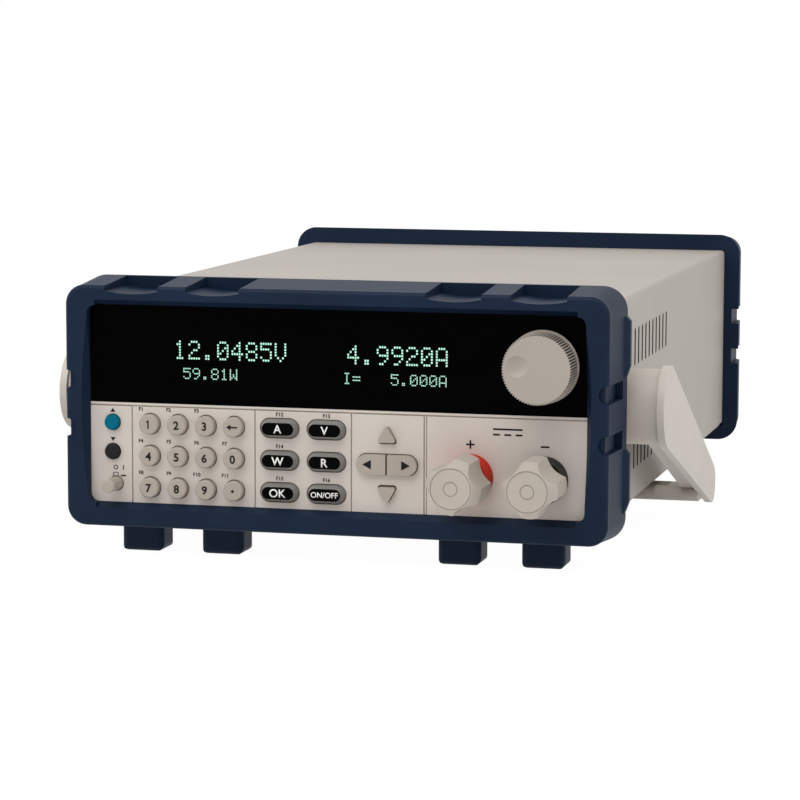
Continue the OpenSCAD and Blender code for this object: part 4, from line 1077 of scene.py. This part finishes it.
class LOAD_OT_studio(bpy.types.Operator):
    """Makes the floor, the lights, the world and the camera"""

    bl_idname = "load.studio"
    bl_label = "Studio"

    def execute(self, context):
        scene = context.scene
        settings = scene.load_studio
        scene.view_settings.view_transform = "Standard"
        self.make_floor(settings)
        self.make_world(scene, settings)
        self.add_light("key", settings.key_power, settings.key_width, settings.key_place)
        self.add_light("fill", settings.fill_power, settings.fill_width, settings.fill_place)
        self.add_light("side", settings.side_power, settings.side_width, settings.side_place)
        self.make_camera(scene, settings)
        return {"FINISHED"}

    def make_floor(self, settings):
        """A wide pale floor that shows white and keeps the shadow."""
        bm = bmesh.new()
        bmesh.ops.create_grid(bm, x_segments=1, y_segments=1, size=settings.floor_reach)
        mesh = bpy.data.meshes.new("floor")
        bm.to_mesh(mesh)
        bm.free()
        floor = bpy.data.objects.new("floor", mesh)
        bpy.context.scene.collection.objects.link(floor)
        floor.data.materials.append(self.floor_finish(settings))

    def floor_finish(self, settings):
        """Pale floor: part of its light is its own for the camera and for reflections."""
        material, nodes, links, surface, where = new_finish("floor_paper")
        grain = add_noise(nodes, links, where, scale=30.0)
        base = colours().floor
        tint = add_ramp(nodes, links, grain, shade(base, 0.99), base)
        links.new(tint, surface.inputs["Base Color"])
        surface.inputs["Roughness"].default_value = 0.9
        glow = nodes.new("ShaderNodeEmission")
        glow.inputs["Strength"].default_value = settings.floor_glow
        blend = nodes.new("ShaderNodeMixShader")
        part = nodes.new("ShaderNodeMath")
        part.operation = "MULTIPLY"
        part.inputs[1].default_value = settings.floor_share
        links.new(seen_directly(nodes, links), part.inputs[0])
        links.new(part.outputs["Value"], blend.inputs["Fac"])
        links.new(surface.outputs["BSDF"], blend.inputs[1])
        links.new(glow.outputs["Emission"], blend.inputs[2])
        links.new(blend.outputs["Shader"], nodes["Material Output"].inputs["Surface"])
        return material

    def make_world(self, scene, settings):
        """White behind the object, an even softer light on it."""
        world = bpy.data.worlds.new("studio")
        scene.world = world
        world.use_nodes = True
        nodes = world.node_tree.nodes
        links = world.node_tree.links
        background = nodes["Background"]
        background.inputs["Color"].default_value = (1.0, 1.0, 1.0, 1.0)
        strength = nodes.new("ShaderNodeMapRange")
        strength.inputs["To Min"].default_value = settings.world
        strength.inputs["To Max"].default_value = 1.0
        links.new(seen_directly(nodes, links), strength.inputs["Value"])
        links.new(strength.outputs["Result"], background.inputs["Strength"])

    def add_light(self, name, watts, width, offset):
        """A square soft light that looks at the object's middle."""
        light = bpy.data.lights.new(name, "AREA")
        light.energy = watts
        light.size = width
        lamp = bpy.data.objects.new(name, light)
        bpy.context.scene.collection.objects.link(lamp)
        lamp.location = (CAD_BOX[0] + CAD_BOX[1]) / 2 + Vector(offset)
        lamp.rotation_euler = (-Vector(offset)).to_track_quat("-Z", "Y").to_euler()

    def make_camera(self, scene, settings):
        """The photograph's viewpoint."""
        yaw, pitch, roll = settings.yaw, settings.pitch, settings.roll
        ahead = Vector((
            -math.sin(yaw) * math.cos(pitch), math.cos(yaw) * math.cos(pitch), -math.sin(pitch)
        ))
        level = Vector((math.cos(yaw), math.sin(yaw), 0.0))
        upright = level.cross(ahead)
        right = level * math.cos(roll) + upright * math.sin(roll)
        up = upright * math.cos(roll) - level * math.sin(roll)
        data = bpy.data.cameras.new("camera")
        data.lens = settings.lens
        data.sensor_width = settings.sensor
        camera = bpy.data.objects.new("camera", data)
        scene.collection.objects.link(camera)
        turn = Matrix((right, up, -ahead)).transposed()
        camera.matrix_world = Matrix.Translation(settings.camera) @ turn.to_4x4()
        scene.camera = camera


STEPS = (
    LOAD_OT_bumpers,
    LOAD_OT_case,
    LOAD_OT_panel,
    LOAD_OT_keys,
    LOAD_OT_key_marks,
    LOAD_OT_panel_marks,
    LOAD_OT_display,
    LOAD_OT_knob,
    LOAD_OT_terminals,
    LOAD_OT_handle,
    LOAD_OT_rear,
    LOAD_OT_inside,
    LOAD_OT_studio,
)


class LOAD_PT_dresser(bpy.types.Panel):
    """Lists the steps that dress the electronic load"""

    bl_idname = "LOAD_PT_dresser"
    bl_label = "Electronic Load"
    bl_space_type = "VIEW_3D"
    bl_region_type = "UI"
    bl_category = "Electronic Load"

    def draw(self, context):
        for step in STEPS:
            self.layout.operator(step.bl_idname)


GROUPS = (LoadSizes, MarkSizes, LoadColours, StudioSettings)


def register():
    for item in (*GROUPS, *STEPS, LOAD_PT_dresser):
        bpy.utils.register_class(item)
    bpy.types.Scene.load_sizes = bpy.props.PointerProperty(type=LoadSizes)
    bpy.types.Scene.load_marks = bpy.props.PointerProperty(type=MarkSizes)
    bpy.types.Scene.load_colours = bpy.props.PointerProperty(type=LoadColours)
    bpy.types.Scene.load_studio = bpy.props.PointerProperty(type=StudioSettings)


def unregister():
    del bpy.types.Scene.load_studio
    del bpy.types.Scene.load_colours
    del bpy.types.Scene.load_marks
    del bpy.types.Scene.load_sizes
    for item in reversed((*GROUPS, *STEPS, LOAD_PT_dresser)):
        bpy.utils.unregister_class(item)


def main():
    """Dresses the object step by step."""
    register()
    bpy.ops.load.bumpers()
    bpy.ops.load.case()
    bpy.ops.load.panel()
    bpy.ops.load.keys()
    bpy.ops.load.key_marks()
    bpy.ops.load.panel_marks()
    bpy.ops.load.display()
    bpy.ops.load.knob()
    bpy.ops.load.terminals()
    bpy.ops.load.handle()
    bpy.ops.load.rear()
    bpy.ops.load.inside()
    bpy.ops.load.studio()


if __name__ == "__main__":
    main()
